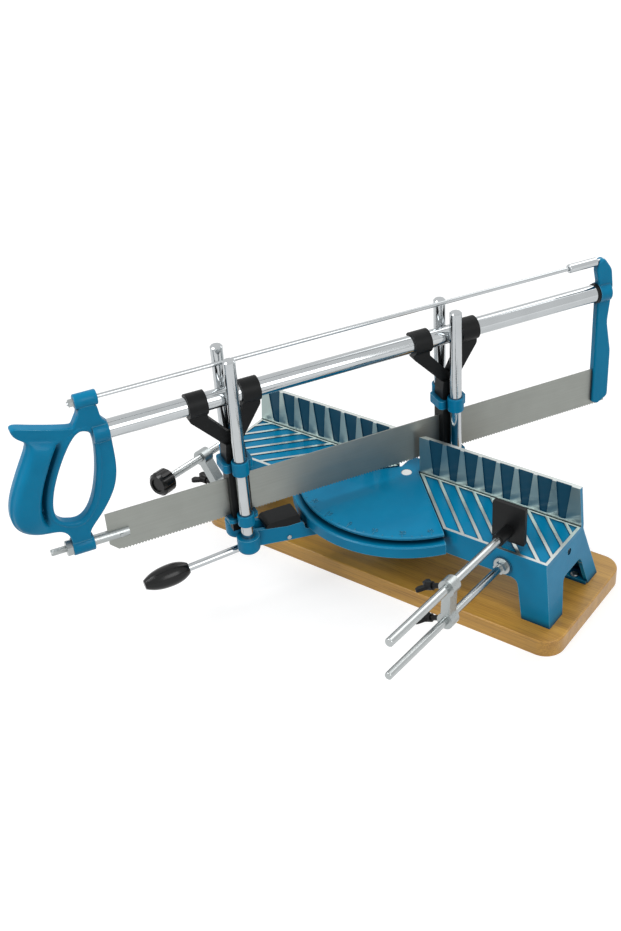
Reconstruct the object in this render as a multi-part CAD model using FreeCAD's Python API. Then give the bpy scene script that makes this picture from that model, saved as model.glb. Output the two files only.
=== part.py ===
import FreeCAD, Part
import math
import os

# Manual mitre saw with a long frame saw that rides on two pairs of columns.
# Millimetres. X runs along the fence, Y to the rear and Z up. The origin is on the
# pivot axis, at the underside of the base board.
#
# The swinging arm and the saw are drawn along +X, with the pivot at the origin, and are
# then turned about Z to the mitre angle that they stand at. In that drawing "u" is the
# distance along the blade from the pivot, and "v" is sideways.

V = FreeCAD.Vector
UP = V(0, 0, 1)

# Play between pieces
RUNNING_PLAY = 0.05
SEAT_PLAY = 0.02
AXIAL_PLAY = 0.3
FLAT_PLAY = 0.25

# Base board
BOARD_LENGTH = 427.0
BOARD_IN_FRONT = 84.0
BOARD_BEHIND = 66.0
BOARD_THICKNESS = 18.0
BOARD_CORNER = 20.0
BOARD_EDGE = 1.5

# Table castings, one each side of the pivot. They are drawn with the fence's face at y = 0.
FENCE_BEHIND_PIVOT = 6.0
TABLE_RISE = 74.0
TABLE_THICKNESS = 6.0
TABLE_DEPTH = 70.0
TABLE_INNER_END = 12.1
BOARD_BESIDE_TABLE = 21.5
TABLE_OUTER_END = BOARD_LENGTH / 2 - BOARD_BESIDE_TABLE
END_LEAN = 6.0
CASTING_WALL = 4.0
FRONT_SKIRT = 28.0
LEG_WIDTH = 30.0
FRONT_LEG_DEPTH = 31.0
FRONT_LEG_FOOT = 26.0
REAR_LEG_SPREAD = 26.0
REAR_LEG_FOOT = 20.0
ARCH_HEIGHT = 40.0
ARCH_CORNER = 7.0
FOOT_PAD = 4.0
STIFFENER_DROP = 8.0
STRIP_WIDTH = 3.0
STRIP_PITCH = 20.0
POCKET_DEPTH = 0.8

# Fence, which stands on the rear edge of each table
FENCE_HEIGHT = 42.0
FENCE_THICKNESS = 5.0
FENCE_TAPER = 3.75
RIB_FIRST = 21.5
RIB_PITCH = 20.0
RIB_COUNT = 9
RIB_WIDTH_TOP = 4.0
RIB_WIDTH_BASE = 12.6
RIB_FOOT = 2.5
RECESS_DEPTH = 1.2

# Graduated quadrant between the tables
QUADRANT_DROP = 1.0
QUADRANT_THICKNESS = 9.2
QUADRANT_RADIUS = 111.0
QUADRANT_GAP = 1.0
GROOVE_RADIUS = 106.0
GROOVE_WIDTH = 3.5
RIM_PROUD = 7.0
RIM_HEIGHT = 12.0
RIM_WALL = 4.5
RIM_CLEARANCE = 2.7
NOTCH_WIDTH = 7.0
NOTCH_DEPTH = 2.3
NOTCH_SKIN = 1.3
NOTCH_ANGLES = (-45.0, -36.0, -30.0, -22.5, -15.0, 0.0, 15.0, 22.5, 30.0, 36.0, 45.0)
BOSS_RADIUS = 14.0
TONGUE_END = 28.0
LUG_START = 62.0
LUG_LENGTH = 24.0
LUG_REACH = 16.0

# Pivot
PIVOT_RADIUS = 4.0
PIVOT_HEAD_RADIUS = 5.5
PIVOT_HEAD_HEIGHT = 1.8
INSERT_RADIUS = 8.0
INSERT_FLANGE_RADIUS = 12.0
INSERT_DEPTH = 13.0
INSERT_FLOOR = 1.0
HUB_RADIUS = 16.0
HUB_HEIGHT = 49.0
HUB_LIFT = 2.0

# Screws
SCREW_RADIUS = 2.0
SCREW_HEAD_RADIUS = 4.0
SCREW_HEAD_HEIGHT = 2.6
SCREW_LENGTH = 15.0
LUG_SCREW_RADIUS = 2.5
END_SCREW_RADIUS = 3.5
END_SCREW_LENGTH = 7.0

# Swinging arm
MITRE_ANGLE = 30.0
ARM_HALF_WIDTH = 11.0
ARM_WALL = 4.0
ARM_ROOT_DEPTH = 26.0
ARM_TIP_DEPTH = 9.3
FORK_CLEARANCE = 3.5
FORK_RISE = 10.0
FORK_TIP_RISE = 8.3
FORK_DEPTH = 17.3
FORK_TIP_DEPTH = 10.8
WEB_MARGIN = 12.0
CUP_RADIUS = 11.2
CUP_HEIGHT = 18.0
CUP_ABOVE_FORK = 7.9
CUP_FLOOR = 3.0
REAR_CUP_DROP = 8.0
REAR_BRIDGE_DEPTH = 16.0

# Columns
COLUMN_RADIUS = 6.0
COLUMN_SPREAD = 16.0
FRONT_COLUMNS = -182.0
REAR_COLUMNS = 48.0
FRONT_COLUMN_TOP = 282.0
REAR_COLUMN_TOP = 268.5
COLUMN_CHAMFER = 1.2

# Latch that holds the arm at an angle
LATCH_PIVOT_U = -137.5
LATCH_PIVOT_DROP = 13.8
LATCH_PIN_RADIUS = 1.6
LATCH_PIN_HEAD_RADIUS = 2.4
LATCH_PIN_HEAD_HEIGHT = 0.9
LATCH_BOSS_RADIUS = 5.5
LATCH_HALF_WIDTH = 5.0
TOOTH_HALF_WIDTH = 3.0
TOOTH_LENGTH = 2.8
TOOTH_ARM_HALF = 4.0
SPRING_PAD_RISE = 7.0
LATCH_BLOCK_HEIGHT = 9.6
LATCH_BLOCK_LENGTH = 36.0
SPRING_RADIUS = 3.0
SPRING_WALL = 0.8
SPRING_POCKET = 7.2
LEVER_SLOPE = 5.0
LEVER_RISE = 2.0
LEVER_ROD_RADIUS = 3.8
LEVER_SOCKET_START = 8.0
LEVER_SOCKET_LENGTH = 14.0
LEVER_ROD_LENGTH = 96.0
GRIP_LENGTH = 46.0
GRIP_RADIUS = 11.0
GRIP_NECK_RADIUS = 6.0

# Saw blade
BLADE_LENGTH = 550.0
BLADE_HEIGHT = 44.0
BLADE_THICKNESS = 1.0
BLADE_FRONT = -313.0
BLADE_BOTTOM = 104.5
BLADE_CORNER = 8.0
BLADE_END = BLADE_FRONT + BLADE_LENGTH
BLADE_PIN_MARGIN = 12.0
PIN_RADIUS = 2.0
TOOTH_PITCH = 3.1
TOOTH_DEPTH = 1.6
BLADE_PLAY = 0.2

# Saw frame
TUBE_RADIUS = 9.0
TUBE_WALL = 1.5
TUBE_AXIS = 237.4
TUBE_INSERT = 12.0
ROD_RADIUS = 2.0
ROD_AXIS = 272.5
STUD_RADIUS = 5.0
STUD_AXIS = 124.0

# Handle casting
HANDLE_THICKNESS = 11.0
HANDLE_EDGE = 2.5
BEAD_WIDTH = 6.0
BEAD_PROUD = 1.3
HANDLE_FRONT = -296.0
SOCKET_RADIUS = 10.3
SOCKET_LENGTH = 15.0
ROD_BOSS_RADIUS = 7.0
ROD_BOSS_LENGTH = 21.0
ROD_BOSS_START = -322.0
STUD_BOSS_RADIUS = 8.5
STUD_BOSS_LENGTH = 21.0
STUD_BOSS_START = -348.0
GRIP_BULGE = 13.0

# Far arm of the saw frame
FAR_ARM_START = BLADE_END - 18.0
FAR_ARM_THICKNESS = 9.0
FAR_ARM_EDGE = 2.0
FAR_ARM_INSERT = 10.0
END_RING_LENGTH = 3.0
BARREL_RADIUS = 4.5
BARREL_LENGTH = 32.0
BARREL_END = FAR_ARM_START - 3.0
END_PIN_U = BLADE_END - BLADE_PIN_MARGIN

# Carriages that slide on the columns and guide the saw
COLLAR_RADIUS = 8.2
UPPER_YOKE_BOTTOM = 160.0
UPPER_YOKE_HEIGHT = 15.0
LOWER_YOKE_BOTTOM = 101.4
LOWER_YOKE_HEIGHT = 12.4
LOWER_BRIDGE_HEIGHT = 5.0
YOKE_WALL = 5.0
YOKE_HALF_DEPTH = 12.0
GUIDE_HALF_LENGTH = 10.0
GUIDE_HALF_WIDTH = 9.0
GUIDE_TOP = 171.0
YOKE_BAND_HEIGHT = 9.0
GUIDE_NOSE_LENGTH = 13.5
GUIDE_NOSE_HALF_WIDTH = 4.0
CLIP_RING_WALL = 2.7
CLIP_RING_LENGTH = 18.0
CLIP_RING_OFFSET = 26.0
CLIP_SHIFT = -5.0
CLIP_ARM_WIDTH = 9.0
CLIP_ARM_HALF_WIDTH = 5.0
CLIP_FOOT_TOP = 190.0
CLIP_FOOT_HALF_WIDTH = 8.0
CLIP_LIP_ANGLE = 150.0
CLIP_OPEN_ANGLE = 250.0

# Work clamps on the front of the tables
BAR_TILT = 4.5
BAR_RADIUS = 3.6
PUSH_ROD_RADIUS = 4.0
BAR_DROP = 17.5
BAR_SPACING = 35.0
BAR_BOSS_RADIUS = 9.5
BAR_BOSS_LENGTH = 16.0
BAR_BOSS_PROUD = 1.0
BAR_NUT_ACROSS = 11.0
BAR_NUT_HEIGHT = 5.5
BAR_WASHER_RADIUS = 8.5
BAR_WASHER_THICKNESS = 1.5
RIGHT_BAR_X = 146.8
RIGHT_BAR_LENGTH = 198.0
RIGHT_COUPLING_OUT = 100.0
RIGHT_ROD_OUT = 198.0
LEFT_BAR_X = 164.5
LEFT_BAR_LENGTH = 60.0
LEFT_COUPLING_OUT = 39.0
LEFT_COUPLING_TURN = 36.0
RING_RADIUS = 8.0
RING_LENGTH = 12.0
LINK_HALF_WIDTH = 4.5
PAD_WIDTH = 34.0
PAD_HEIGHT = 42.0
PAD_THICKNESS = 4.0
PAD_GAP = 4.5
PAD_OUT = -6.0
PAD_SOCKET_RADIUS = 6.0
PAD_SOCKET_LENGTH = 20.0
WING_SHANK_RADIUS = 2.5
WING_SHANK_LENGTH = 12.0
WING_SPAN = 28.0
WING_LENGTH = 12.0
WING_THICKNESS = 3.0
WING_HUB_RADIUS = 4.0
WING_DROOP = 22.0
LEFT_PAD_RADIUS = 5.2
LEFT_PAD_LENGTH = 6.0
SCREW_TIP_RADIUS = 2.5
SCREW_TIP_LENGTH = 3.5
LEFT_PAD_OUT = -12.0
KNOB_RADIUS = 12.5
KNOB_LENGTH = 18.0
KNOB_BEVEL = 3.0
KNOB_RECESS_RADIUS = 7.0
KNOB_RECESS_DEPTH = 1.5
KNOB_OUT = 93.0
KNOB_FLUTES = 8
KNOB_FLUTE_RADIUS = 3.0

# Levels that follow from the sizes above
BOARD_TOP = BOARD_THICKNESS
TABLE_TOP = BOARD_TOP + TABLE_RISE
TABLE_UNDERSIDE = TABLE_TOP - TABLE_THICKNESS
QUADRANT_TOP = TABLE_TOP - QUADRANT_DROP
QUADRANT_UNDERSIDE = QUADRANT_TOP - QUADRANT_THICKNESS
RIM_RADIUS = QUADRANT_RADIUS + RIM_PROUD
FORK_START = RIM_RADIUS + FORK_CLEARANCE
HUB_BOTTOM = BOARD_TOP + HUB_LIFT + AXIAL_PLAY
HUB_TOP = HUB_BOTTOM + HUB_HEIGHT
BOSS_BOTTOM = HUB_TOP + AXIAL_PLAY
RIM_BOTTOM = HUB_TOP + RIM_CLEARANCE
RIM_TOP = RIM_BOTTOM + RIM_HEIGHT
FORK_TOP = HUB_TOP + FORK_RISE
CUP_TOP = FORK_TOP + CUP_ABOVE_FORK
CUP_BOTTOM = CUP_TOP - CUP_HEIGHT
LATCH_PIVOT_Z = FORK_TOP - LATCH_PIVOT_DROP
BAR_HEIGHT = TABLE_TOP - BAR_DROP
BLADE_TOP = BLADE_BOTTOM + BLADE_HEIGHT
SAW_DIRECTION = 90.0 - MITRE_ANGLE


def in_plan(a, b):
    """Point of an outline drawn in plan."""
    return V(a, b, 0.0)


def in_elevation(a, b):
    """Point of an outline drawn along X and Z, looked at from the front."""
    return V(a, 0.0, b)


def in_side_view(a, b):
    """Point of an outline drawn along Y and Z, looked at from the right."""
    return V(0.0, a, b)


def rounded_wire(corners, to_space):
    """Closed outline through corners (a, b, radius), each corner rounded by its radius."""
    arcs = []
    count = len(corners)
    for i in range(count):
        a, b, radius = corners[i]
        here = V(a, b, 0)
        before = V(corners[i - 1][0], corners[i - 1][1], 0)
        after = V(corners[(i + 1) % count][0], corners[(i + 1) % count][1], 0)
        back = (before - here).normalize()
        onward = (after - here).normalize()
        if radius <= 0:
            arcs.append((here, None, here))
            continue
        half = back.getAngle(onward) / 2
        reach = radius / math.tan(half)
        bisector = (back + onward).normalize()
        middle = here + bisector * (radius / math.sin(half) - radius)
        arcs.append((here + back * reach, middle, here + onward * reach))
    edges = []
    for i in range(count):
        start, middle, end = arcs[i]
        following = arcs[(i + 1) % count][0]
        if middle is not None:
            points = [to_space(p.x, p.y) for p in (start, middle, end)]
            edges.append(Part.Arc(*points).toShape())
        if (following - end).Length > 1e-6:
            edges.append(Part.LineSegment(to_space(end.x, end.y),
                                          to_space(following.x, following.y)).toShape())
    return Part.Wire(edges)


def prism(corners, to_space, start, end):
    """Solid between two planes, with a rounded outline across them."""
    direction = to_space(1, 0).cross(to_space(0, 1))
    if to_space is in_elevation:
        direction = V(0, 1, 0)
    face = Part.Face(rounded_wire(corners, to_space))
    face.translate(direction * start)
    return face.extrude(direction * (end - start))


def sharp(points):
    """Corners with no rounding."""
    return [(a, b, 0.0) for a, b in points]


def box(x, y, z):
    """Block between two limits on each axis."""
    return Part.makeBox(x[1] - x[0], y[1] - y[0], z[1] - z[0], V(x[0], y[0], z[0]))


def rod(radius, start, end):
    """Cylinder from one point to another."""
    axis = end - start
    return Part.makeCylinder(radius, axis.Length, start, axis)


def tube(outer, inner, start, end):
    """Hollow cylinder from one point to another."""
    return rod(outer, start, end).cut(rod(inner, start, end))


def hexagon(across, start, end):
    """Hexagonal bar from one point to another, with a flat on top."""
    axis = end - start
    radius = across / math.sqrt(3)
    corners = [V(radius * math.cos(math.radians(60 * i)), radius * math.sin(math.radians(60 * i)), 0)
               for i in range(7)]
    bar = Part.Face(Part.makePolygon(corners)).extrude(V(0, 0, axis.Length))
    bar.Placement = FreeCAD.Placement(start, FreeCAD.Rotation(V(0, 0, 1), axis))
    return bar


def fuse(shapes):
    """One solid out of several that meet."""
    whole = shapes[0].multiFuse(shapes[1:])
    return whole.removeSplitter()


def round_edges(shape, radius, chosen):
    """Fillet the edges whose middle point passes the test."""
    edges = [e for e in shape.Edges if chosen(e.CenterOfMass, e)]
    return shape.makeFillet(radius, edges)


def mirrored(shape):
    """The left-hand twin of a right-hand piece."""
    return shape.mirror(V(0, 0, 0), V(1, 0, 0))


def at_mitre(shape):
    """Turn a piece drawn along +X to the angle that the saw stands at."""
    turned = shape.copy()
    turned.rotate(V(0, 0, 0), UP, SAW_DIRECTION)
    return turned


def save(name, shape):
    """Write one piece to its own file."""
    shape.exportStep("parts/" + name + ".step")


# Base


def base_board():
    front = -BOARD_IN_FRONT
    half = BOARD_LENGTH / 2
    corners = [(-half, front, BOARD_CORNER), (half, front, BOARD_CORNER),
               (half, BOARD_BEHIND, BOARD_CORNER), (-half, BOARD_BEHIND, BOARD_CORNER)]
    board = prism(corners, in_plan, 0, BOARD_THICKNESS)
    board = round_edges(board, BOARD_EDGE, lambda c, e: c.z > BOARD_THICKNESS - 0.01)
    holes = [rod(INSERT_RADIUS + SEAT_PLAY, V(0, 0, BOARD_TOP - INSERT_DEPTH), V(0, 0, BOARD_TOP + 1))]
    for side in (-1, 1):
        for y in foot_screw_places():
            top = V(side * foot_screw_x(), y + FENCE_BEHIND_PIVOT, BOARD_TOP + FOOT_PAD)
            holes.append(rod(SCREW_RADIUS + SEAT_PLAY, top - UP * (SCREW_LENGTH + 0.5), top))
    return board.cut(Part.makeCompound(holes))


def foot_screw_x():
    """Distance of the foot screws from the pivot, midway along the legs."""
    return TABLE_OUTER_END + END_LEAN - LEG_WIDTH / 2


def foot_screw_places():
    """Y of the front and the rear foot screw."""
    front = -TABLE_DEPTH + CASTING_WALL + SCREW_HEAD_RADIUS + 3.0
    rear = rear_foot_inner() - SCREW_HEAD_RADIUS + 5.0
    return front, rear


def rear_foot_inner():
    """Y of the rear foot's inner corner on the board."""
    return FENCE_THICKNESS + REAR_LEG_SPREAD - REAR_LEG_FOOT


def foot_screw(side, y):
    pad_top = V(side * foot_screw_x(), y, BOARD_TOP + FOOT_PAD)
    head = rod(SCREW_HEAD_RADIUS, pad_top, pad_top + UP * SCREW_HEAD_HEIGHT)
    head = round_edges(head, 1.2, lambda c, e: c.z > pad_top.z + SCREW_HEAD_HEIGHT - 0.01)
    shank = rod(SCREW_RADIUS, pad_top - UP * SCREW_LENGTH, pad_top)
    return fuse([head, shank])


# Tables


def table_plate():
    inner = TABLE_INNER_END
    corners = sharp([(inner, 0), (inner + TABLE_DEPTH, -TABLE_DEPTH), (TABLE_OUTER_END, -TABLE_DEPTH),
                     (TABLE_OUTER_END, FENCE_THICKNESS), (inner + FENCE_THICKNESS, FENCE_THICKNESS)])
    plate = prism(corners, in_plan, TABLE_UNDERSIDE, TABLE_TOP)
    return plate.cut(table_pockets())


def table_pockets():
    """Shallow painted pockets between the machined strips that cross the table at 45 degrees."""
    front = -TABLE_DEPTH + STRIP_WIDTH
    rear = -STRIP_WIDTH
    first = TABLE_INNER_END + STRIP_WIDTH * math.sqrt(2)
    end = TABLE_OUTER_END - STRIP_WIDTH
    corners = sharp([(first - rear, rear), (first - front, front), (end, front), (end, rear)])
    floor = prism(corners, in_plan, TABLE_TOP - POCKET_DEPTH, TABLE_TOP + 1)
    slant = STRIP_WIDTH * math.sqrt(2)
    strips = []
    x = TABLE_INNER_END + STRIP_PITCH
    while x < TABLE_OUTER_END + TABLE_DEPTH:
        corners = sharp([(x, 0), (x + slant, 0), (x + slant + TABLE_DEPTH, -TABLE_DEPTH),
                         (x + TABLE_DEPTH, -TABLE_DEPTH)])
        strips.append(prism(corners, in_plan, TABLE_TOP - POCKET_DEPTH - 1, TABLE_TOP + 2))
        x += STRIP_PITCH
    return floor.cut(Part.makeCompound(strips))


def fence():
    top = TABLE_TOP + FENCE_HEIGHT
    corners = sharp([(TABLE_INNER_END, TABLE_TOP), (TABLE_OUTER_END, TABLE_TOP),
                     (TABLE_OUTER_END - FENCE_TAPER, top), (TABLE_INNER_END, top)])
    wall = prism(corners, in_elevation, 0, FENCE_THICKNESS)
    inner = TABLE_INNER_END
    corner = sharp([(inner - 1, -1), (inner + FENCE_THICKNESS + 1, FENCE_THICKNESS + 1),
                    (inner - 1, FENCE_THICKNESS + 1)])
    wall = wall.cut(prism(corner, in_plan, TABLE_TOP - 1, top + 1))
    recesses = []
    for i in range(RIB_COUNT - 1):
        left = RIB_FIRST + i * RIB_PITCH
        right = left + RIB_PITCH
        corners = sharp([(left + RIB_WIDTH_BASE / 2, TABLE_TOP + RIB_FOOT),
                         (right - RIB_WIDTH_BASE / 2, TABLE_TOP + RIB_FOOT),
                         (right - RIB_WIDTH_TOP / 2, top + 0.01),
                         (left + RIB_WIDTH_TOP / 2, top + 0.01)])
        recesses.append(prism(corners, in_elevation, -1, RECESS_DEPTH))
    return wall.cut(Part.makeCompound(recesses))


def end_space(inset, depth):
    """Space inside the table's outer end, whose foot leans out."""
    inner = TABLE_OUTER_END - depth
    corners = sharp([(inner, BOARD_TOP), (TABLE_OUTER_END + END_LEAN - inset, BOARD_TOP),
                     (TABLE_OUTER_END - inset, TABLE_UNDERSIDE + 1), (inner, TABLE_UNDERSIDE + 1)])
    reach = FENCE_THICKNESS + REAR_LEG_SPREAD
    return prism(corners, in_elevation, -TABLE_DEPTH, reach)


def end_wall():
    """Outer end of a table: a straight front leg, an arch and a rear leg that leans back."""
    front = -TABLE_DEPTH
    rear = FENCE_THICKNESS + REAR_LEG_SPREAD
    arch_top = BOARD_TOP + ARCH_HEIGHT
    inner = rear_foot_inner()
    lean = (rear - FENCE_THICKNESS) / TABLE_RISE
    corners = [(front, BOARD_TOP, 0), (front + FRONT_LEG_FOOT, BOARD_TOP, 0),
               (front + FRONT_LEG_DEPTH, arch_top, ARCH_CORNER),
               (inner - lean * ARCH_HEIGHT, arch_top, ARCH_CORNER),
               (inner, BOARD_TOP, 0), (rear, BOARD_TOP, 0),
               (FENCE_THICKNESS, TABLE_UNDERSIDE + 1, 0), (front, TABLE_UNDERSIDE + 1, 0)]
    outline = prism(corners, in_side_view, TABLE_OUTER_END - LEG_WIDTH, TABLE_OUTER_END + END_LEAN)
    wall = end_space(0, LEG_WIDTH).cut(end_space(CASTING_WALL, LEG_WIDTH))
    return outline.common(wall)


def rear_leg():
    """Leaning plate behind the end wall."""
    rear = FENCE_THICKNESS + REAR_LEG_SPREAD
    corners = sharp([(rear, BOARD_TOP), (FENCE_THICKNESS, TABLE_UNDERSIDE + 1),
                     (FENCE_THICKNESS - CASTING_WALL, TABLE_UNDERSIDE + 1),
                     (rear - CASTING_WALL * 1.2, BOARD_TOP)])
    plate = prism(corners, in_side_view, TABLE_OUTER_END - LEG_WIDTH, TABLE_OUTER_END + END_LEAN)
    return plate.common(end_space(0, LEG_WIDTH))


def front_skirt():
    """Front wall under the table's edge, which runs down into the front leg."""
    inner = TABLE_INNER_END + TABLE_DEPTH
    leg = TABLE_OUTER_END - LEG_WIDTH
    bottom = TABLE_TOP - FRONT_SKIRT
    corners = [(inner, TABLE_UNDERSIDE + 1, 0), (inner, bottom, 2), (leg, bottom, 8),
               (leg + END_LEAN, BOARD_TOP, 0), (TABLE_OUTER_END + END_LEAN, BOARD_TOP, 0),
               (TABLE_OUTER_END, TABLE_UNDERSIDE + 1, 0)]
    return prism(corners, in_elevation, -TABLE_DEPTH, -TABLE_DEPTH + CASTING_WALL)


def foot_pads():
    """Flanges inside the legs that take the foot screws."""
    outer = TABLE_OUTER_END + END_LEAN - 1
    x = (outer - LEG_WIDTH + 1, outer)
    z = (BOARD_TOP, BOARD_TOP + FOOT_PAD)
    front = -TABLE_DEPTH
    front_pad = box(x, (front + 1, front + FRONT_LEG_FOOT), z)
    rear = FENCE_THICKNESS + REAR_LEG_SPREAD
    rear_pad = box(x, (rear_foot_inner() - 4, rear - CASTING_WALL), z)
    return [front_pad, rear_pad]


def stiffeners():
    """Ribs under the plate: one along the middle and one along the rear edge."""
    z = (TABLE_UNDERSIDE - STIFFENER_DROP, TABLE_UNDERSIDE + 1)
    x = (TABLE_INNER_END + LUG_START + LUG_LENGTH, TABLE_OUTER_END - 1)
    middle = box(x, (-TABLE_DEPTH / 2 - CASTING_WALL / 2, -TABLE_DEPTH / 2 + CASTING_WALL / 2), z)
    rear = box((CUP_RADIUS + REAR_COLUMNS + COLUMN_SPREAD, TABLE_OUTER_END - 1),
               (FENCE_THICKNESS - CASTING_WALL, FENCE_THICKNESS), z)
    return [middle, rear]


def bar_axis(side, x):
    """Start of a clamp bar on the table's front wall, and its outward direction."""
    tilt = math.radians(BAR_TILT)
    return V(side * x, -TABLE_DEPTH, BAR_HEIGHT), V(0, -math.cos(tilt), math.sin(tilt))


def bar_boss(x):
    start, out = bar_axis(1, x)
    return rod(BAR_BOSS_RADIUS, start + out * BAR_BOSS_PROUD, start - out * BAR_BOSS_LENGTH)


def table(bar_x):
    """Right-hand table casting, with its clamp bar at the given distance from the pivot."""
    solids = [table_plate(), fence(), end_wall(), rear_leg(), front_skirt(), bar_boss(bar_x)]
    solids += foot_pads() + stiffeners()
    casting = fuse(solids)
    start, out = bar_axis(1, bar_x)
    holes = [rod(BAR_RADIUS + SEAT_PLAY, start + out * 10, start - out * (BAR_BOSS_LENGTH - 2))]
    for y in foot_screw_places():
        x = foot_screw_x()
        holes.append(rod(SCREW_RADIUS + SEAT_PLAY, V(x, y, BOARD_TOP - 1), V(x, y, BOARD_TOP + FOOT_PAD + 1)))
    place = lug_screw_place() - V(0, FENCE_BEHIND_PIVOT, 0)
    holes.append(rod(LUG_SCREW_RADIUS + SEAT_PLAY, place - UP, place + UP * lug_screw_grip()))
    holes.append(rod(END_SCREW_RADIUS + SEAT_PLAY, end_screw_place() - V(9, 0, 0),
                     end_screw_place() + V(1, 0, 0)))
    return casting.cut(Part.makeCompound(holes))


def end_screw_place():
    """Outer end of the screw that holds a length stop in the end wall."""
    return V(TABLE_OUTER_END, -25.0, TABLE_TOP - 13.0)


def end_screw():
    outer = end_screw_place() - V(0.5, 0, 0)
    screw = rod(END_SCREW_RADIUS, outer - V(END_SCREW_LENGTH, 0, 0), outer)
    socket = hexagon(END_SCREW_RADIUS, outer - V(2.5, 0, 0), outer + V(1, 0, 0))
    return screw.cut(socket)


# Quadrant


def wedge(gap, bottom, top):
    """Space in front of the pivot between the slanted inner ends of the tables."""
    tip = TABLE_INNER_END + FENCE_BEHIND_PIVOT - gap * math.sqrt(2)
    reach = RIM_RADIUS * 1.5
    corners = sharp([(0, tip), (-reach, tip - reach), (reach, tip - reach)])
    return prism(corners, in_plan, bottom, top)


def quadrant_section():
    """Section of the quadrant from the pivot outwards."""
    groove_top = RIM_TOP + GROOVE_WIDTH
    corners = sharp([(0, QUADRANT_UNDERSIDE), (0, QUADRANT_TOP), (QUADRANT_RADIUS - 1, QUADRANT_TOP),
                     (QUADRANT_RADIUS, QUADRANT_TOP - 1), (QUADRANT_RADIUS, groove_top + 0.5),
                     (GROOVE_RADIUS, groove_top - 0.5), (GROOVE_RADIUS, RIM_TOP),
                     (RIM_RADIUS - 1, RIM_TOP), (RIM_RADIUS, RIM_TOP - 1), (RIM_RADIUS, RIM_BOTTOM),
                     (RIM_RADIUS - RIM_WALL, RIM_BOTTOM), (RIM_RADIUS - RIM_WALL, RIM_TOP - 3.5),
                     (GROOVE_RADIUS - 4, RIM_TOP - 3.5), (GROOVE_RADIUS - 4, QUADRANT_UNDERSIDE)])
    return Part.Face(rounded_wire(corners, in_elevation))


def rim_notches():
    """Index notches in the rim's lower edge, one for each usual mitre angle."""
    cuts = []
    for angle in NOTCH_ANGLES:
        notch = box((RIM_RADIUS - RIM_WALL - 1, RIM_RADIUS - NOTCH_SKIN), (-NOTCH_WIDTH / 2, NOTCH_WIDTH / 2),
                    (RIM_BOTTOM - 1, RIM_BOTTOM + NOTCH_DEPTH))
        notch.rotate(V(0, 0, 0), UP, -90.0 + angle)
        cuts.append(notch)
    return cuts


def lug(bottom, top):
    """Ear that reaches under the right-hand table, along its slanted end."""
    line = (TABLE_INNER_END + FENCE_BEHIND_PIVOT) / math.sqrt(2) - QUADRANT_GAP
    ear = box((LUG_START, LUG_START + LUG_LENGTH), (line - 4, line + LUG_REACH), (bottom, top))
    ear.rotate(V(0, 0, 0), UP, -45.0)
    return ear


def lug_screw_place():
    """Middle of the lug's reach under the table, at the lug's top face."""
    line = (TABLE_INNER_END + FENCE_BEHIND_PIVOT) / math.sqrt(2)
    place = V(LUG_START + LUG_LENGTH / 2, line + LUG_REACH / 2, 0)
    turn = FreeCAD.Rotation(UP, -45.0)
    place = turn.multVec(place)
    return V(place.x, place.y, TABLE_UNDERSIDE)


def lug_screw_grip():
    """How far the lug screw reaches up into the table."""
    return TABLE_THICKNESS - POCKET_DEPTH - 1.2


def lug_thickness():
    return TABLE_UNDERSIDE - QUADRANT_UNDERSIDE + 2.0


def lug_screw():
    place = lug_screw_place()
    under = place - UP * lug_thickness()
    head = rod(SCREW_HEAD_RADIUS, under - UP * SCREW_HEAD_HEIGHT, under)
    shank = rod(LUG_SCREW_RADIUS, under, place + UP * (lug_screw_grip() - 0.4))
    return fuse([head, shank])


def quadrant():
    disc = quadrant_section().revolve(V(0, 0, 0), UP, 360)
    sector = disc.common(wedge(QUADRANT_GAP, BOARD_TOP, TABLE_TOP))
    sector = sector.cut(Part.makeCompound(rim_notches()))
    boss = rod(BOSS_RADIUS, V(0, 0, BOSS_BOTTOM), V(0, 0, TABLE_UNDERSIDE - FLAT_PLAY))
    ear = lug(TABLE_UNDERSIDE - lug_thickness(), TABLE_UNDERSIDE)
    half = TABLE_INNER_END - 2 * QUADRANT_GAP
    tongue = box((-half, half), (0, TONGUE_END), (QUADRANT_UNDERSIDE, QUADRANT_TOP))
    whole = fuse([sector, boss, ear, mirrored(ear), tongue])
    place = lug_screw_place()
    hole = rod(LUG_SCREW_RADIUS + SEAT_PLAY, place - UP * (lug_thickness() + 1), place + UP)
    bore = rod(PIVOT_RADIUS + SEAT_PLAY, V(0, 0, BOARD_TOP), V(0, 0, TABLE_TOP))
    seat = rod(PIVOT_HEAD_RADIUS + SEAT_PLAY, V(0, 0, head_seat()), V(0, 0, TABLE_TOP))
    return whole.cut(Part.makeCompound([hole, mirrored(hole), bore, seat]))


def head_seat():
    """Level of the pivot bolt's head, which lies flush in the quadrant."""
    return QUADRANT_TOP - PIVOT_HEAD_HEIGHT


def pivot_bolt():
    head = rod(PIVOT_HEAD_RADIUS, V(0, 0, head_seat()), V(0, 0, QUADRANT_TOP))
    head = round_edges(head, 0.8, lambda c, e: c.z > QUADRANT_TOP - 0.01)
    shank = rod(PIVOT_RADIUS, V(0, 0, insert_bore_bottom() + AXIAL_PLAY), V(0, 0, head_seat()))
    return fuse([head, shank])


def insert_bore_bottom():
    return BOARD_TOP - INSERT_DEPTH + INSERT_FLOOR


def pivot_insert():
    """Threaded insert in the board, whose flange carries the arm's hub."""
    body = rod(INSERT_RADIUS, V(0, 0, BOARD_TOP - INSERT_DEPTH), V(0, 0, BOARD_TOP + 1))
    flange = rod(INSERT_FLANGE_RADIUS, V(0, 0, BOARD_TOP), V(0, 0, BOARD_TOP + HUB_LIFT))
    bore = rod(PIVOT_RADIUS + SEAT_PLAY, V(0, 0, insert_bore_bottom()), V(0, 0, TABLE_TOP))
    return fuse([body, flange]).cut(bore)


# Swinging arm, drawn along X


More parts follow.
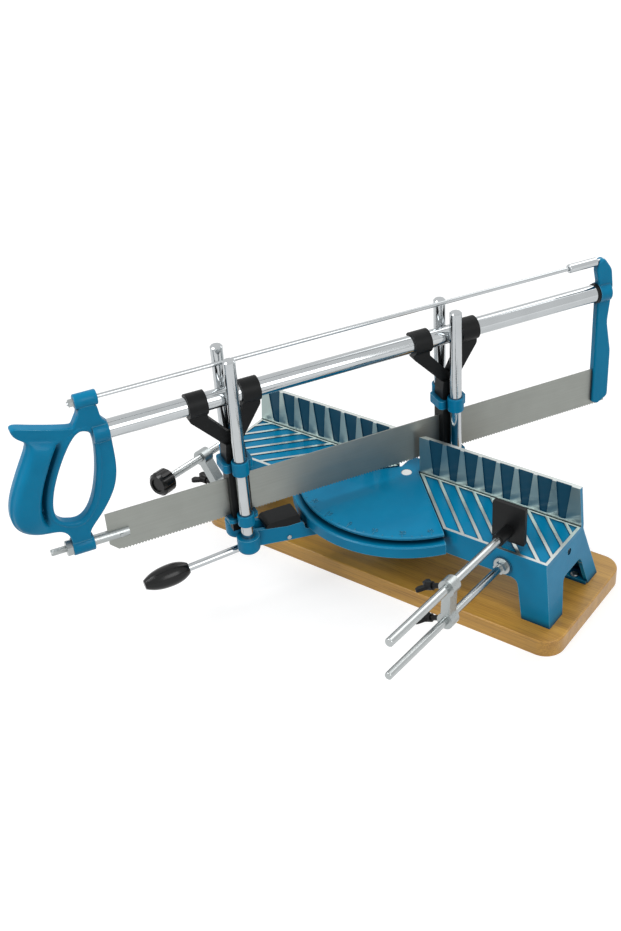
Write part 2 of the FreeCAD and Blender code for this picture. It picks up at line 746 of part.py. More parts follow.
def arm_cheek():
    """Side profile of the arm in front of the pivot: a tapered beam that steps up to a fork."""
    tip = FRONT_COLUMNS
    return [(0, HUB_TOP, 0), (-FORK_START + 2, HUB_TOP, 3), (-FORK_START, FORK_TOP, 3),
            (LATCH_PIVOT_U, FORK_TOP, 30), (tip, FORK_TOP + FORK_TIP_RISE, 0),
            (tip, FORK_TOP - FORK_TIP_DEPTH, 0), (LATCH_PIVOT_U, FORK_TOP - FORK_DEPTH, 30),
            (-FORK_START, HUB_TOP - ARM_TIP_DEPTH, 10), (0, HUB_TOP - ARM_ROOT_DEPTH, 0)]


def arm():
    beam = prism(arm_cheek(), in_elevation, -ARM_HALF_WIDTH, ARM_HALF_WIDTH)
    inner = ARM_HALF_WIDTH - ARM_WALL
    web_end = WEB_MARGIN - RIM_RADIUS
    under = box((web_end - 1, 1), (-inner, inner), (0, HUB_TOP - ARM_WALL))
    fork = box((FRONT_COLUMNS - CUP_RADIUS, web_end), (-inner, inner), (0, CUP_TOP + 1))
    beam = beam.cut(Part.makeCompound([under, fork]))
    hub = rod(HUB_RADIUS, V(0, 0, HUB_BOTTOM), V(0, 0, HUB_TOP))
    solids = [beam, hub] + rear_bridge() + column_cups(FRONT_COLUMNS, CUP_BOTTOM, 5.0)
    solids += column_cups(REAR_COLUMNS, HUB_TOP - REAR_CUP_DROP, 2.0)
    whole = fuse(solids)
    holes = [rod(PIVOT_RADIUS + RUNNING_PLAY, V(0, 0, 0), V(0, 0, TABLE_TOP)),
             rod(LATCH_PIN_RADIUS + SEAT_PLAY, V(LATCH_PIVOT_U, -30, LATCH_PIVOT_Z),
                 V(LATCH_PIVOT_U, 30, LATCH_PIVOT_Z))]
    for u in (FRONT_COLUMNS, REAR_COLUMNS):
        for v in (-COLUMN_SPREAD, COLUMN_SPREAD):
            holes.append(rod(COLUMN_RADIUS + SEAT_PLAY, V(u, v, CUP_BOTTOM + CUP_FLOOR), V(u, v, CUP_TOP + 1)))
    return whole.cut(Part.makeCompound(holes))


def rear_bridge():
    """Block behind the pivot that carries the rear cups."""
    top = HUB_TOP - 2
    corners = [(0, -HUB_RADIUS * 0.8, 0), (REAR_COLUMNS, -COLUMN_SPREAD - 6, 4),
               (REAR_COLUMNS + 6, -COLUMN_SPREAD, 4), (REAR_COLUMNS + 6, COLUMN_SPREAD, 4),
               (REAR_COLUMNS, COLUMN_SPREAD + 6, 4), (0, HUB_RADIUS * 0.8, 0)]
    return [prism(corners, in_plan, top - REAR_BRIDGE_DEPTH, top)]


def column_cups(u, bottom, rounding):
    cups = []
    for v in (-COLUMN_SPREAD, COLUMN_SPREAD):
        cup = rod(CUP_RADIUS, V(u, v, bottom), V(u, v, CUP_TOP))
        cups.append(round_edges(cup, rounding, lambda c, e: c.z < bottom + 0.01))
    return cups


def column(u, v, top):
    shaft = rod(COLUMN_RADIUS, V(u, v, CUP_BOTTOM + CUP_FLOOR), V(u, v, top))
    edges = [e for e in shaft.Edges if e.CenterOfMass.z > top - 0.01]
    return shaft.makeChamfer(COLUMN_CHAMFER, edges)


# Latch and its lever


def latch_block():
    """Cover on the fork that holds down the latch spring."""
    rear = -FORK_START - 3
    front = rear - LATCH_BLOCK_LENGTH
    top = FORK_TOP + LATCH_BLOCK_HEIGHT
    corners = [(front, FORK_TOP, 0), (rear, FORK_TOP, 0), (rear, top, 2.5), (front, top, 5)]
    cover = prism(corners, in_elevation, -ARM_HALF_WIDTH, ARM_HALF_WIDTH)
    cover = cover.cut(prism(arm_cheek(), in_elevation, -ARM_HALF_WIDTH, ARM_HALF_WIDTH))
    u = spring_u()
    pocket = rod(SPRING_RADIUS + 0.5, V(u, 0, FORK_TOP - 1), V(u, 0, FORK_TOP + SPRING_POCKET))
    return cover.cut(pocket)


def spring_u():
    return LATCH_PIVOT_U - 9.0


def spring_pad_top():
    return LATCH_PIVOT_Z + SPRING_PAD_RISE


def index_spring():
    u = spring_u()
    return tube(SPRING_RADIUS, SPRING_RADIUS - SPRING_WALL, V(u, 0, spring_pad_top()),
                V(u, 0, FORK_TOP + SPRING_POCKET))


def latch_pin():
    half = ARM_HALF_WIDTH + LATCH_PIN_HEAD_HEIGHT
    u, z = LATCH_PIVOT_U, LATCH_PIVOT_Z
    shank = rod(LATCH_PIN_RADIUS, V(u, -half, z), V(u, half, z))
    near = rod(LATCH_PIN_HEAD_RADIUS, V(u, -half, z), V(u, -ARM_HALF_WIDTH, z))
    near = round_edges(near, LATCH_PIN_HEAD_HEIGHT * 0.7, lambda c, e: c.y < -half + 0.01)
    far = rod(LATCH_PIN_HEAD_RADIUS, V(u, ARM_HALF_WIDTH, z), V(u, half, z))
    return fuse([shank, near, far])


def lever_line(distance):
    """Point on the lever's axis, at a distance outwards from the latch pin."""
    slope = math.radians(LEVER_SLOPE)
    return V(LATCH_PIVOT_U - distance * math.cos(slope), 0,
             LATCH_PIVOT_Z + LEVER_RISE - distance * math.sin(slope))


def latch_lever():
    """Crank on the latch pin: a socket for the rod outwards and a tooth under the rim."""
    u, z = LATCH_PIVOT_U, LATCH_PIVOT_Z
    half = LATCH_HALF_WIDTH
    boss = rod(LATCH_BOSS_RADIUS, V(u, -half, z), V(u, half, z))
    socket_end = LEVER_SOCKET_START + LEVER_SOCKET_LENGTH
    socket = rod(LEVER_ROD_RADIUS + 1.1, lever_line(0), lever_line(socket_end))
    inner = -(RIM_RADIUS - RIM_WALL)
    outer = inner - TOOTH_LENGTH
    tip = RIM_BOTTOM - AXIAL_PLAY
    corners = [(u, z - TOOTH_ARM_HALF, 0), (inner, z - TOOTH_ARM_HALF + 1, 2), (inner, tip, 0.5),
               (outer, tip, 0.5), (outer, z + TOOTH_ARM_HALF - 1, 1), (u, z + TOOTH_ARM_HALF, 0)]
    tooth = prism(corners, in_elevation, -TOOTH_HALF_WIDTH, TOOTH_HALF_WIDTH)
    pad = box((spring_u() - 4, spring_u() + 4), (-half + 1, half - 1), (z, spring_pad_top()))
    whole = fuse([boss, socket, tooth, pad])
    holes = [rod(LATCH_PIN_RADIUS + RUNNING_PLAY, V(u, -20, z), V(u, 20, z)),
             rod(LEVER_ROD_RADIUS - 1, lever_line(LEVER_SOCKET_START), lever_line(socket_end + 1))]
    return whole.cut(Part.makeCompound(holes))


def lever_rod():
    start = LEVER_SOCKET_START + LEVER_SOCKET_LENGTH
    stub = rod(LEVER_ROD_RADIUS - 1 - SEAT_PLAY, lever_line(LEVER_SOCKET_START), lever_line(start + 1))
    main = rod(LEVER_ROD_RADIUS, lever_line(start), lever_line(start + LEVER_ROD_LENGTH))
    return fuse([stub, main])


def lever_grip():
    """Oval grip turned on the lever's end."""
    neck = GRIP_NECK_RADIUS
    half = GRIP_LENGTH / 2
    points = [V(0, 0, neck * 0.9), V(half * 0.3, 0, GRIP_RADIUS * 0.83), V(half, 0, GRIP_RADIUS),
              V(half * 1.6, 0, GRIP_RADIUS * 0.8), V(GRIP_LENGTH, 0, neck * 0.75)]
    curve = Part.BSplineCurve()
    curve.interpolate(points)
    ends = [V(0, 0, 0), V(GRIP_LENGTH, 0, 0)]
    edges = [Part.makeLine(ends[0], points[0]), curve.toShape(), Part.makeLine(points[-1], ends[1]),
             Part.makeLine(ends[1], ends[0])]
    grip = Part.Face(Part.Wire(edges)).revolve(V(0, 0, 0), V(1, 0, 0), 360)
    out = LEVER_SOCKET_START + LEVER_SOCKET_LENGTH + LEVER_ROD_LENGTH
    bite = 14.0
    direction = lever_line(1) - lever_line(0)
    grip.Placement = FreeCAD.Placement(lever_line(out - bite), FreeCAD.Rotation(V(1, 0, 0), direction))
    return grip.cut(rod(LEVER_ROD_RADIUS + SEAT_PLAY, lever_line(0), lever_line(out)))


# Carriages, drawn along X around a pair of columns


def yoke(u, bottom, top, bridge_top):
    """Two collars joined by a frame that holds the blade guide."""
    solids = []
    for v in (-COLUMN_SPREAD, COLUMN_SPREAD):
        collar = rod(COLLAR_RADIUS, V(u, v, bottom), V(u, v, top))
        solids.append(round_edges(collar, 1.0, lambda c, e: abs(c.z - bottom) < 0.01 or abs(c.z - top) < 0.01))
    length = GUIDE_HALF_LENGTH + YOKE_WALL
    depth = YOKE_HALF_DEPTH
    corners = [(u - length, -depth, 4), (u + length, -depth, 4), (u + length, depth, 4), (u - length, depth, 4)]
    solids.append(prism(corners, in_plan, bottom + 1, bridge_top))
    whole = fuse(solids)
    cuts = [box((u - GUIDE_HALF_LENGTH, u + GUIDE_HALF_LENGTH), (-GUIDE_HALF_WIDTH, GUIDE_HALF_WIDTH),
                (bottom - 1, top + 1)), blade_slit(u, length + 1)]
    for v in (-COLUMN_SPREAD, COLUMN_SPREAD):
        cuts.append(rod(COLUMN_RADIUS + RUNNING_PLAY, V(u, v, bottom - 1), V(u, v, top + 1)))
    return whole.cut(Part.makeCompound(cuts))


def blade_slit(u, reach):
    """Space that the blade needs along its length."""
    half = BLADE_THICKNESS / 2 + BLADE_PLAY
    return box((u - reach, u + reach), (-half, half), (BLADE_BOTTOM - 1, BLADE_TOP + 1))


def upper_yoke(u):
    top = UPPER_YOKE_BOTTOM + UPPER_YOKE_HEIGHT
    return yoke(u, UPPER_YOKE_BOTTOM, top, UPPER_YOKE_BOTTOM + 1 + YOKE_BAND_HEIGHT)


def lower_yoke(u):
    top = LOWER_YOKE_BOTTOM + LOWER_YOKE_HEIGHT
    return yoke(u, LOWER_YOKE_BOTTOM, top, LOWER_YOKE_BOTTOM + LOWER_BRIDGE_HEIGHT)


def blade_guide(u):
    """Moulded body between the columns, slit for the blade."""
    half = GUIDE_HALF_LENGTH
    body = box((u - half, u + half), (-GUIDE_HALF_WIDTH, GUIDE_HALF_WIDTH), (LOWER_YOKE_BOTTOM, GUIDE_TOP))
    nose = box((u - half, u + half), (-GUIDE_NOSE_HALF_WIDTH, GUIDE_NOSE_HALF_WIDTH),
               (LOWER_YOKE_BOTTOM - GUIDE_NOSE_LENGTH, LOWER_YOKE_BOTTOM))
    return fuse([body, nose]).cut(blade_slit(u, half + 1))


def clip_ring(u):
    """Open ring that snaps over the saw's tube from the far side, with a flared lip."""
    outer = TUBE_RADIUS + RUNNING_PLAY + CLIP_RING_WALL
    half = CLIP_RING_LENGTH / 2
    start, end = V(u - half, 0, TUBE_AXIS), V(u + half, 0, TUBE_AXIS)
    ring = tube(outer, TUBE_RADIUS + RUNNING_PLAY, start, end)
    reach = outer * 2
    first = math.radians(CLIP_LIP_ANGLE)
    last = math.radians(CLIP_OPEN_ANGLE)
    points = [V(u - half - 1, 0, TUBE_AXIS)]
    for angle in (first, (first + last) / 2, last):
        points.append(V(u - half - 1, -reach * math.cos(angle), TUBE_AXIS + reach * math.sin(angle)))
    points.append(points[0])
    mouth = Part.Face(Part.makePolygon(points)).extrude(V(CLIP_RING_LENGTH + 2, 0, 0))
    return ring.cut(mouth)


def tube_clip(u):
    """Two rings on the arms of a V, with a foot on the blade guide."""
    middle = u + CLIP_SHIFT
    half = CLIP_RING_LENGTH / 2
    inner = CLIP_RING_OFFSET - half
    outer = CLIP_RING_OFFSET + half
    ring_bottom = TUBE_AXIS - TUBE_RADIUS - CLIP_RING_WALL / 2
    elbow = ring_bottom - CLIP_ARM_WIDTH / 2
    solids = []
    for side in (-1, 1):
        corners = [(middle + side * outer, ring_bottom, 0), (middle + side * inner, ring_bottom, 0),
                   (middle + side * inner, elbow, 4), (u - side * 2, CLIP_FOOT_TOP + 4, 0),
                   (u - side * 2, CLIP_FOOT_TOP - 3, 0), (u + side * (CLIP_ARM_WIDTH - 2), CLIP_FOOT_TOP - 3, 0),
                   (middle + side * outer, elbow, 6)]
        solids.append(prism(corners, in_elevation, -CLIP_ARM_HALF_WIDTH, CLIP_ARM_HALF_WIDTH))
        solids.append(clip_ring(middle + side * CLIP_RING_OFFSET))
    stem = prism([(u - GUIDE_HALF_LENGTH, GUIDE_TOP, 0), (u + GUIDE_HALF_LENGTH, GUIDE_TOP, 0),
                  (u + GUIDE_HALF_LENGTH, GUIDE_TOP + CLIP_ARM_WIDTH, 5), (u + CLIP_ARM_WIDTH, CLIP_FOOT_TOP, 0),
                  (u - CLIP_ARM_WIDTH, CLIP_FOOT_TOP, 0), (u - GUIDE_HALF_LENGTH, GUIDE_TOP + CLIP_ARM_WIDTH, 5)],
                 in_elevation, -CLIP_FOOT_HALF_WIDTH, CLIP_FOOT_HALF_WIDTH)
    whole = fuse(solids + [stem])
    bore = rod(TUBE_RADIUS + RUNNING_PLAY, V(middle - outer - 1, 0, TUBE_AXIS),
               V(middle + outer + 1, 0, TUBE_AXIS))
    return whole.cut(bore)


# Saw, drawn along X


def blade():
    """Straight blade with evenly pitched teeth along its lower edge."""
    start, end = BLADE_FRONT, BLADE_END
    root = BLADE_BOTTOM + TOOTH_DEPTH
    points = [(start, BLADE_TOP), (start, root + BLADE_CORNER), (start + BLADE_CORNER, root)]
    x = start + BLADE_CORNER + TOOTH_PITCH
    while x + TOOTH_PITCH < end - BLADE_CORNER:
        points.append((x, root))
        points.append((x + TOOTH_PITCH / 2, BLADE_BOTTOM))
        x += TOOTH_PITCH
    points.append((x, root))
    points += [(end, root), (end, BLADE_TOP)]
    sheet = prism(sharp(points), in_elevation, -BLADE_THICKNESS / 2, BLADE_THICKNESS / 2)
    holes = []
    for u in (clevis_pin_u(), END_PIN_U):
        holes.append(rod(PIN_RADIUS + SEAT_PLAY, V(u, -5, STUD_AXIS), V(u, 5, STUD_AXIS)))
    return sheet.cut(Part.makeCompound(holes))


def clevis_pin_u():
    return BLADE_FRONT + BLADE_PIN_MARGIN


HANDLE_OUTLINE = (
    (-378.0, 261.5, 3.0), (-379.0, 256.0, 3.0), (-369.5, 247.0, 6.0), (-369.5, 235.0, 20.0),
    (-390.0, 194.0, 40.0), (-397.0, 164.0, 14.0), (-385.0, 148.5, 14.0), (-352.0, 147.5, 9.0),
    (-347.0, 134.0, 6.0), (-347.0, 124.0, 3.0), (-328.5, 124.0, 3.0), (-329.5, 138.0, 6.0),
    (-306.0, 163.0, 36.0), (-295.0, 195.0, 50.0), (-295.5, 230.0, 6.0), (-294.5, 246.0, 3.0),
    (-302.5, 252.0, 4.0), (-302.5, 270.0, 3.0), (-320.0, 270.0, 3.0), (-318.5, 264.0, 3.0),
    (-328.0, 247.5, 8.0))

FINGER_HOLE = (
    (-329.0, 244.0, 8.0), (-312.5, 241.0, 10.0), (-306.5, 214.0, 50.0), (-317.5, 168.0, 36.0),
    (-336.0, 148.0, 11.0), (-359.5, 156.0, 12.0), (-362.5, 180.0, 25.0))

# Grip bulge: height, the bulge's outer and inner edge along u, and its share of full thickness
GRIP_SECTIONS = (
    (246.0, -367.0, -349.0, 0.62), (236.0, -370.5, -348.0, 0.88), (216.0, -379.5, -353.0, 1.0),
    (193.0, -390.0, -363.0, 1.0), (171.0, -395.5, -368.0, 1.0), (158.0, -391.0, -368.0, 0.85),
    (151.0, -384.0, -368.0, 0.55))


def grip_section(height, outer, inner, share):
    """Closed oval in plan at one height of the grip."""
    centre = (outer + inner) / 2
    half_length = (inner - outer) / 2
    half_width = GRIP_BULGE * share
    points = []
    for i in range(12):
        angle = math.radians(30 * i)
        a = math.copysign(abs(math.cos(angle)) ** 0.8, math.cos(angle))
        b = math.copysign(abs(math.sin(angle)) ** 0.8, math.sin(angle))
        points.append(V(centre + half_length * a, half_width * b, height))
    curve = Part.BSplineCurve()
    curve.interpolate(points, PeriodicFlag=True)
    return Part.Wire([curve.toShape()])


def finger_bead(half):
    """Raised rim around the finger hole, on both faces."""
    hole = Part.Face(rounded_wire(FINGER_HOLE, in_elevation))
    outline = hole.makeOffset2D(BEAD_WIDTH)
    bead = outline.extrude(V(0, 2 * half, 0))
    bead.translate(V(0, -half, 0))
    bead = round_edges(bead, BEAD_PROUD * 0.8, lambda c, e: abs(abs(c.y) - half) < 0.01)
    return bead.cut(prism(FINGER_HOLE, in_elevation, -half - 1, half + 1))


def handle():
    """Cast handle: a flat loop with a full grip, and bosses for the tube, the rod and the stud."""
    half = HANDLE_THICKNESS / 2
    loop = prism(HANDLE_OUTLINE, in_elevation, -half, half)
    loop = loop.cut(prism(FINGER_HOLE, in_elevation, -half - 1, half + 1))
    loop = round_edges(loop, HANDLE_EDGE, lambda c, e: abs(abs(c.y) - half) < 0.01)
    bead = finger_bead(half + BEAD_PROUD).common(prism(HANDLE_OUTLINE, in_elevation, -half * 2, half * 2))
    grip = Part.makeLoft([grip_section(*s) for s in GRIP_SECTIONS], True, False)
    tube_socket = rod(SOCKET_RADIUS, V(HANDLE_FRONT - SOCKET_LENGTH, 0, TUBE_AXIS), V(HANDLE_FRONT, 0, TUBE_AXIS))
    rod_boss = rod(ROD_BOSS_RADIUS, V(ROD_BOSS_START, 0, ROD_AXIS), V(ROD_BOSS_START + ROD_BOSS_LENGTH, 0, ROD_AXIS))
    stud_boss = rod(STUD_BOSS_RADIUS, V(STUD_BOSS_START, 0, STUD_AXIS),
                    V(STUD_BOSS_START + STUD_BOSS_LENGTH, 0, STUD_AXIS))
    whole = fuse([loop, bead, grip, tube_socket, rod_boss, stud_boss])
    holes = [rod(TUBE_RADIUS + SEAT_PLAY, V(HANDLE_FRONT - TUBE_INSERT, 0, TUBE_AXIS),
                 V(HANDLE_FRONT + 5, 0, TUBE_AXIS)),
             rod(ROD_RADIUS + SEAT_PLAY, V(ROD_BOSS_START - 5, 0, ROD_AXIS),
                 V(ROD_BOSS_START + ROD_BOSS_LENGTH + 5, 0, ROD_AXIS)),
             rod(STUD_RADIUS + SEAT_PLAY, V(STUD_BOSS_START - 5, 0, STUD_AXIS),
                 V(STUD_BOSS_START + STUD_BOSS_LENGTH + 5, 0, STUD_AXIS))]
    return whole.cut(Part.makeCompound(holes))


def frame_tube():
    return tube(TUBE_RADIUS, TUBE_RADIUS - TUBE_WALL, V(HANDLE_FRONT - TUBE_INSERT, 0, TUBE_AXIS),
                V(FAR_ARM_START + FAR_ARM_INSERT, 0, TUBE_AXIS))


def end_ring():
    """Black ring where the tube enters the far arm."""
    start = V(FAR_ARM_START - END_RING_LENGTH, 0, TUBE_AXIS)
    return tube(TUBE_RADIUS + 0.9, TUBE_RADIUS + SEAT_PLAY, start, V(FAR_ARM_START, 0, TUBE_AXIS))


# Far arm: distance along u from the blade's end, height and corner radius
FAR_ARM_OUTLINE = (
    (-20.5, 262.0, 3.0), (-20.5, 272.0, 4.0), (-13.0, 276.5, 5.0), (-3.0, 262.0, 14.0), (-0.5, 243.0, 20.0),
    (-4.5, 203.0, 40.0), (2.0, 168.0, 40.0), (2.5, 113.0, 6.0), (-10.0, 106.0, 4.0), (-17.0, 110.0, 3.0),
    (-17.0, 160.0, 0.0), (-18.0, 250.0, 6.0))


def far_arm():
    half = FAR_ARM_THICKNESS / 2
    corners = [(BLADE_END + a, z, radius) for a, z, radius in FAR_ARM_OUTLINE]
    plate = prism(corners, in_elevation, -half, half)
    plate = round_edges(plate, FAR_ARM_EDGE, lambda c, e: abs(abs(c.y) - half) < 0.01)
    socket = rod(TUBE_RADIUS + 1.6, V(FAR_ARM_START, 0, TUBE_AXIS), V(FAR_ARM_START + FAR_ARM_INSERT + 3, 0, TUBE_AXIS))
    whole = fuse([plate, socket])
    slit_half = BLADE_THICKNESS / 2 + SEAT_PLAY
    near_skin = -half + 1.5
    cuts = [rod(TUBE_RADIUS + SEAT_PLAY, V(FAR_ARM_START - 5, 0, TUBE_AXIS),
                V(FAR_ARM_START + FAR_ARM_INSERT, 0, TUBE_AXIS)),
            rod(ROD_RADIUS + SEAT_PLAY, V(BARREL_END - 10, 0, ROD_AXIS), V(BARREL_END + 30, 0, ROD_AXIS)),
            box((FAR_ARM_START - 5, BLADE_END + 0.3), (-slit_half, slit_half), (BLADE_BOTTOM - 5, BLADE_TOP + 0.3)),
            rod(PIN_RADIUS + SEAT_PLAY, V(END_PIN_U, near_skin, STUD_AXIS), V(END_PIN_U, half + 1, STUD_AXIS))]
    return whole.cut(Part.makeCompound(cuts))


def end_pin():
    """Pin through the blade's end, driven in from the far side."""
    half = FAR_ARM_THICKNESS / 2
    return rod(PIN_RADIUS, V(END_PIN_U, -half + 1.5, STUD_AXIS), V(END_PIN_U, half, STUD_AXIS))


def tension_rod():
    """Thin rod above the tube, which pulls the frame's ends apart at the blade."""
    return rod(ROD_RADIUS, V(ROD_BOSS_START - 6, 0, ROD_AXIS), V(BARREL_END + 10, 0, ROD_AXIS))


def tension_nut():
    start = V(ROD_BOSS_START - 4.5, 0, ROD_AXIS)
    end = V(ROD_BOSS_START, 0, ROD_AXIS)
    return hexagon(7.0, start, end).cut(rod(ROD_RADIUS + RUNNING_PLAY, start - V(5, 0, 0), end + V(5, 0, 0)))


def tension_barrel():
    start = V(BARREL_END - BARREL_LENGTH, 0, ROD_AXIS)
    end = V(BARREL_END, 0, ROD_AXIS)
    barrel = rod(BARREL_RADIUS, start, end)
    barrel = round_edges(barrel, 1.0, lambda c, e: c.x < start.x + 0.01)
    return barrel.cut(rod(ROD_RADIUS + RUNNING_PLAY, start - V(5, 0, 0), end + V(5, 0, 0)))


def blade_stud():
    """Slotted stud through the handle that grips the blade's front end."""
    start = STUD_BOSS_START - 20.0
    end = BLADE_FRONT + 20.0
    nut_end = STUD_BOSS_START - 5.5
    wide = rod(STUD_RADIUS, V(nut_end, 0, STUD_AXIS), V(end, 0, STUD_AXIS))
    thin = rod(STUD_RADIUS * 0.6, V(start, 0, STUD_AXIS), V(nut_end + 1, 0, STUD_AXIS))
    stud = fuse([wide, thin])
    slit_half = BLADE_THICKNESS / 2 + SEAT_PLAY
    slit = box((BLADE_FRONT - 2, end + 2), (-slit_half, slit_half), (STUD_AXIS - 10, STUD_AXIS + 10))
    hole = rod(PIN_RADIUS + SEAT_PLAY, V(clevis_pin_u(), -10, STUD_AXIS), V(clevis_pin_u(), 10, STUD_AXIS))
    return stud.cut(Part.makeCompound([slit, hole]))


def clevis_pin():
    u = clevis_pin_u()
    return rod(PIN_RADIUS, V(u, -STUD_RADIUS - 0.6, STUD_AXIS), V(u, STUD_RADIUS + 0.6, STUD_AXIS))


def stud_nut():
    start = V(STUD_BOSS_START - 5.5, 0, STUD_AXIS)
    end = V(STUD_BOSS_START, 0, STUD_AXIS)
    return hexagon(14.0, start, end).cut(rod(STUD_RADIUS + RUNNING_PLAY, start - V(5, 0, 0), end + V(5, 0, 0)))


# Work clamps


def clamp_bar(side, x, length):
    start, out = bar_axis(side, x)
    bar = rod(BAR_RADIUS, start - out * (BAR_BOSS_LENGTH - 3), start + out * length)
    far = start + out * length
    return round_edges(bar, 1.2, lambda c, e: (c - far).Length < 0.01)


def bar_nut(side, x):
    start, out = bar_axis(side, x)
    seat = start + out * BAR_BOSS_PROUD
    face = seat + out * BAR_WASHER_THICKNESS
    nut = fuse([rod(BAR_WASHER_RADIUS, seat, face), hexagon(BAR_NUT_ACROSS, face, face + out * BAR_NUT_HEIGHT)])
    return nut.cut(rod(BAR_RADIUS + SEAT_PLAY, start - out, start + out * 20))


def upper_offset(turn):
    """From the lower bar's axis to the upper rod's axis, square to both, turned to the left."""
    tilt = math.radians(BAR_TILT)
    up = V(0, math.sin(tilt), math.cos(tilt))
    lean = math.radians(turn)
    return (up * math.cos(lean) + V(-1, 0, 0) * math.sin(lean)) * BAR_SPACING


def coupling(side, x, distance, turn, upper_radius):
    """Two rings on a link: one slides on the bar, the other carries the rod above it."""
    start, out = bar_axis(side, x)
    middle = start + out * distance
    half = out * (RING_LENGTH / 2)
    offset = upper_offset(turn)
    lower = rod(RING_RADIUS, middle - half, middle + half)
    upper = rod(RING_RADIUS, middle + offset - half, middle + offset + half)
    across = out.cross(offset).normalize() * LINK_HALF_WIDTH
    corners = [middle - half + across, middle - half - across, middle - half - across + offset,
               middle - half + across + offset, middle - half + across]
    link = Part.Face(Part.makePolygon(corners)).extrude(out * RING_LENGTH)
    whole = fuse([lower, upper, link])
    holes = [rod(BAR_RADIUS + RUNNING_PLAY, middle - half * 2, middle + half * 2),
             rod(upper_radius + RUNNING_PLAY, middle + offset - half * 2, middle + offset + half * 2)]
    return whole, holes, middle, offset


def wing_screw_pieces(centre, direction, inner):
    """Wing screw that bears on a rod inside a ring: shank, hub and two lobes."""
    start = centre + direction * inner
    end = centre + direction * (RING_RADIUS + WING_SHANK_LENGTH)
    shank = rod(WING_SHANK_RADIUS, start, end)
    hub = rod(WING_HUB_RADIUS, end - direction * 2, end + direction * 5)
    blade_span = WING_SPAN / 2
    corners = [(0, -3.0, 0), (0, 3.0, 0), (WING_LENGTH, blade_span, 3), (WING_LENGTH, 3.5, 2),
               (5.0, 0, 2), (WING_LENGTH, -3.5, 2), (WING_LENGTH, -blade_span, 3)]
    wings = prism(corners, in_plan, -WING_THICKNESS / 2, WING_THICKNESS / 2)
    along = bar_axis(1, 0)[1]
    wings.Placement = FreeCAD.Placement(end, FreeCAD.Rotation(direction, along, direction.cross(along), "XYZ"))
    hole = rod(WING_SHANK_RADIUS + RUNNING_PLAY, centre, centre + direction * (RING_RADIUS + 5))
    return fuse([shank, hub, wings]), hole


def wing_direction():
    """Direction of the right-hand wing screws: to the left and a little down."""
    droop = math.radians(WING_DROOP)
    up = upper_offset(0.0).normalize()
    return V(-1, 0, 0) * math.cos(droop) - up * math.sin(droop)


def right_clamp():
    """Coupling, push rod, pressure plate and wing screws of the right-hand clamp."""
    whole, holes, middle, offset = coupling(1, RIGHT_BAR_X, RIGHT_COUPLING_OUT, 0.0, PUSH_ROD_RADIUS)
    left = wing_direction()
    lower_wing, lower_hole = wing_screw_pieces(middle, left, BAR_RADIUS + AXIAL_PLAY)
    upper_wing, upper_hole = wing_screw_pieces(middle + offset, left, PUSH_ROD_RADIUS + AXIAL_PLAY)
    body = whole.cut(Part.makeCompound(holes + [lower_hole, upper_hole]))
    start, out = bar_axis(1, RIGHT_BAR_X)
    axis = start + offset
    near_end = axis + out * PAD_OUT
    push_rod = rod(PUSH_ROD_RADIUS, near_end, axis + out * RIGHT_ROD_OUT)
    far = axis + out * RIGHT_ROD_OUT
    push_rod = round_edges(push_rod, 1.4, lambda c, e: (c - far).Length < 0.01)
    return {"right_coupling": body, "right_push_rod": push_rod, "right_pad": pressure_plate(near_end),
            "right_lower_wing": lower_wing, "right_upper_wing": upper_wing}


def pressure_plate(rod_end):
    """Flat plate square to the table, with a short socket for the push rod."""
    x = rod_end.x
    bottom = TABLE_TOP + PAD_GAP
    half = PAD_WIDTH / 2
    corners = [(x - half, bottom, 2), (x + half, bottom, 2), (x + half, bottom + PAD_HEIGHT, 2),
               (x - half, bottom + PAD_HEIGHT, 2)]
    plate = prism(corners, in_elevation, rod_end.y, rod_end.y + PAD_THICKNESS)
    out = bar_axis(1, RIGHT_BAR_X)[1]
    socket = rod(PAD_SOCKET_RADIUS, rod_end - out, rod_end + out * PAD_SOCKET_LENGTH)
    hole = rod(PUSH_ROD_RADIUS + SEAT_PLAY, rod_end, rod_end + out * (PAD_SOCKET_LENGTH + 5))
    return fuse([plate, socket]).cut(hole)


def left_clamp():
    """Coupling, threaded screw, knob, foot and wing screw of the left-hand clamp."""
    whole, holes, middle, offset = coupling(-1, LEFT_BAR_X, LEFT_COUPLING_OUT, LEFT_COUPLING_TURN,
                                            PUSH_ROD_RADIUS)
    left = V(-1, 0, 0)
    wing, hole = wing_screw_pieces(middle, left, BAR_RADIUS + AXIAL_PLAY)
    body = whole.cut(Part.makeCompound(holes + [hole]))
    start, out = bar_axis(-1, LEFT_BAR_X)
    axis = start + offset
    foot_front = axis + out * LEFT_PAD_OUT
    foot_back = foot_front - out * LEFT_PAD_LENGTH
    shoulder = foot_front + out * AXIAL_PLAY
    tip_end = shoulder - out * SCREW_TIP_LENGTH
    foot = rod(LEFT_PAD_RADIUS, foot_back, foot_front)
    foot = foot.cut(rod(SCREW_TIP_RADIUS + RUNNING_PLAY, tip_end - out * AXIAL_PLAY, foot_front + out))
    screw = fuse([rod(PUSH_ROD_RADIUS, shoulder, axis + out * (KNOB_OUT + 8)),
                  rod(SCREW_TIP_RADIUS, tip_end, shoulder)])
    knob = fluted_knob(axis, out).cut(rod(PUSH_ROD_RADIUS + SEAT_PLAY, axis, axis + out * (KNOB_OUT + 8)))
    return {"left_coupling": body, "left_foot": foot, "left_screw": screw, "left_knob": knob,
            "left_wing": wing}


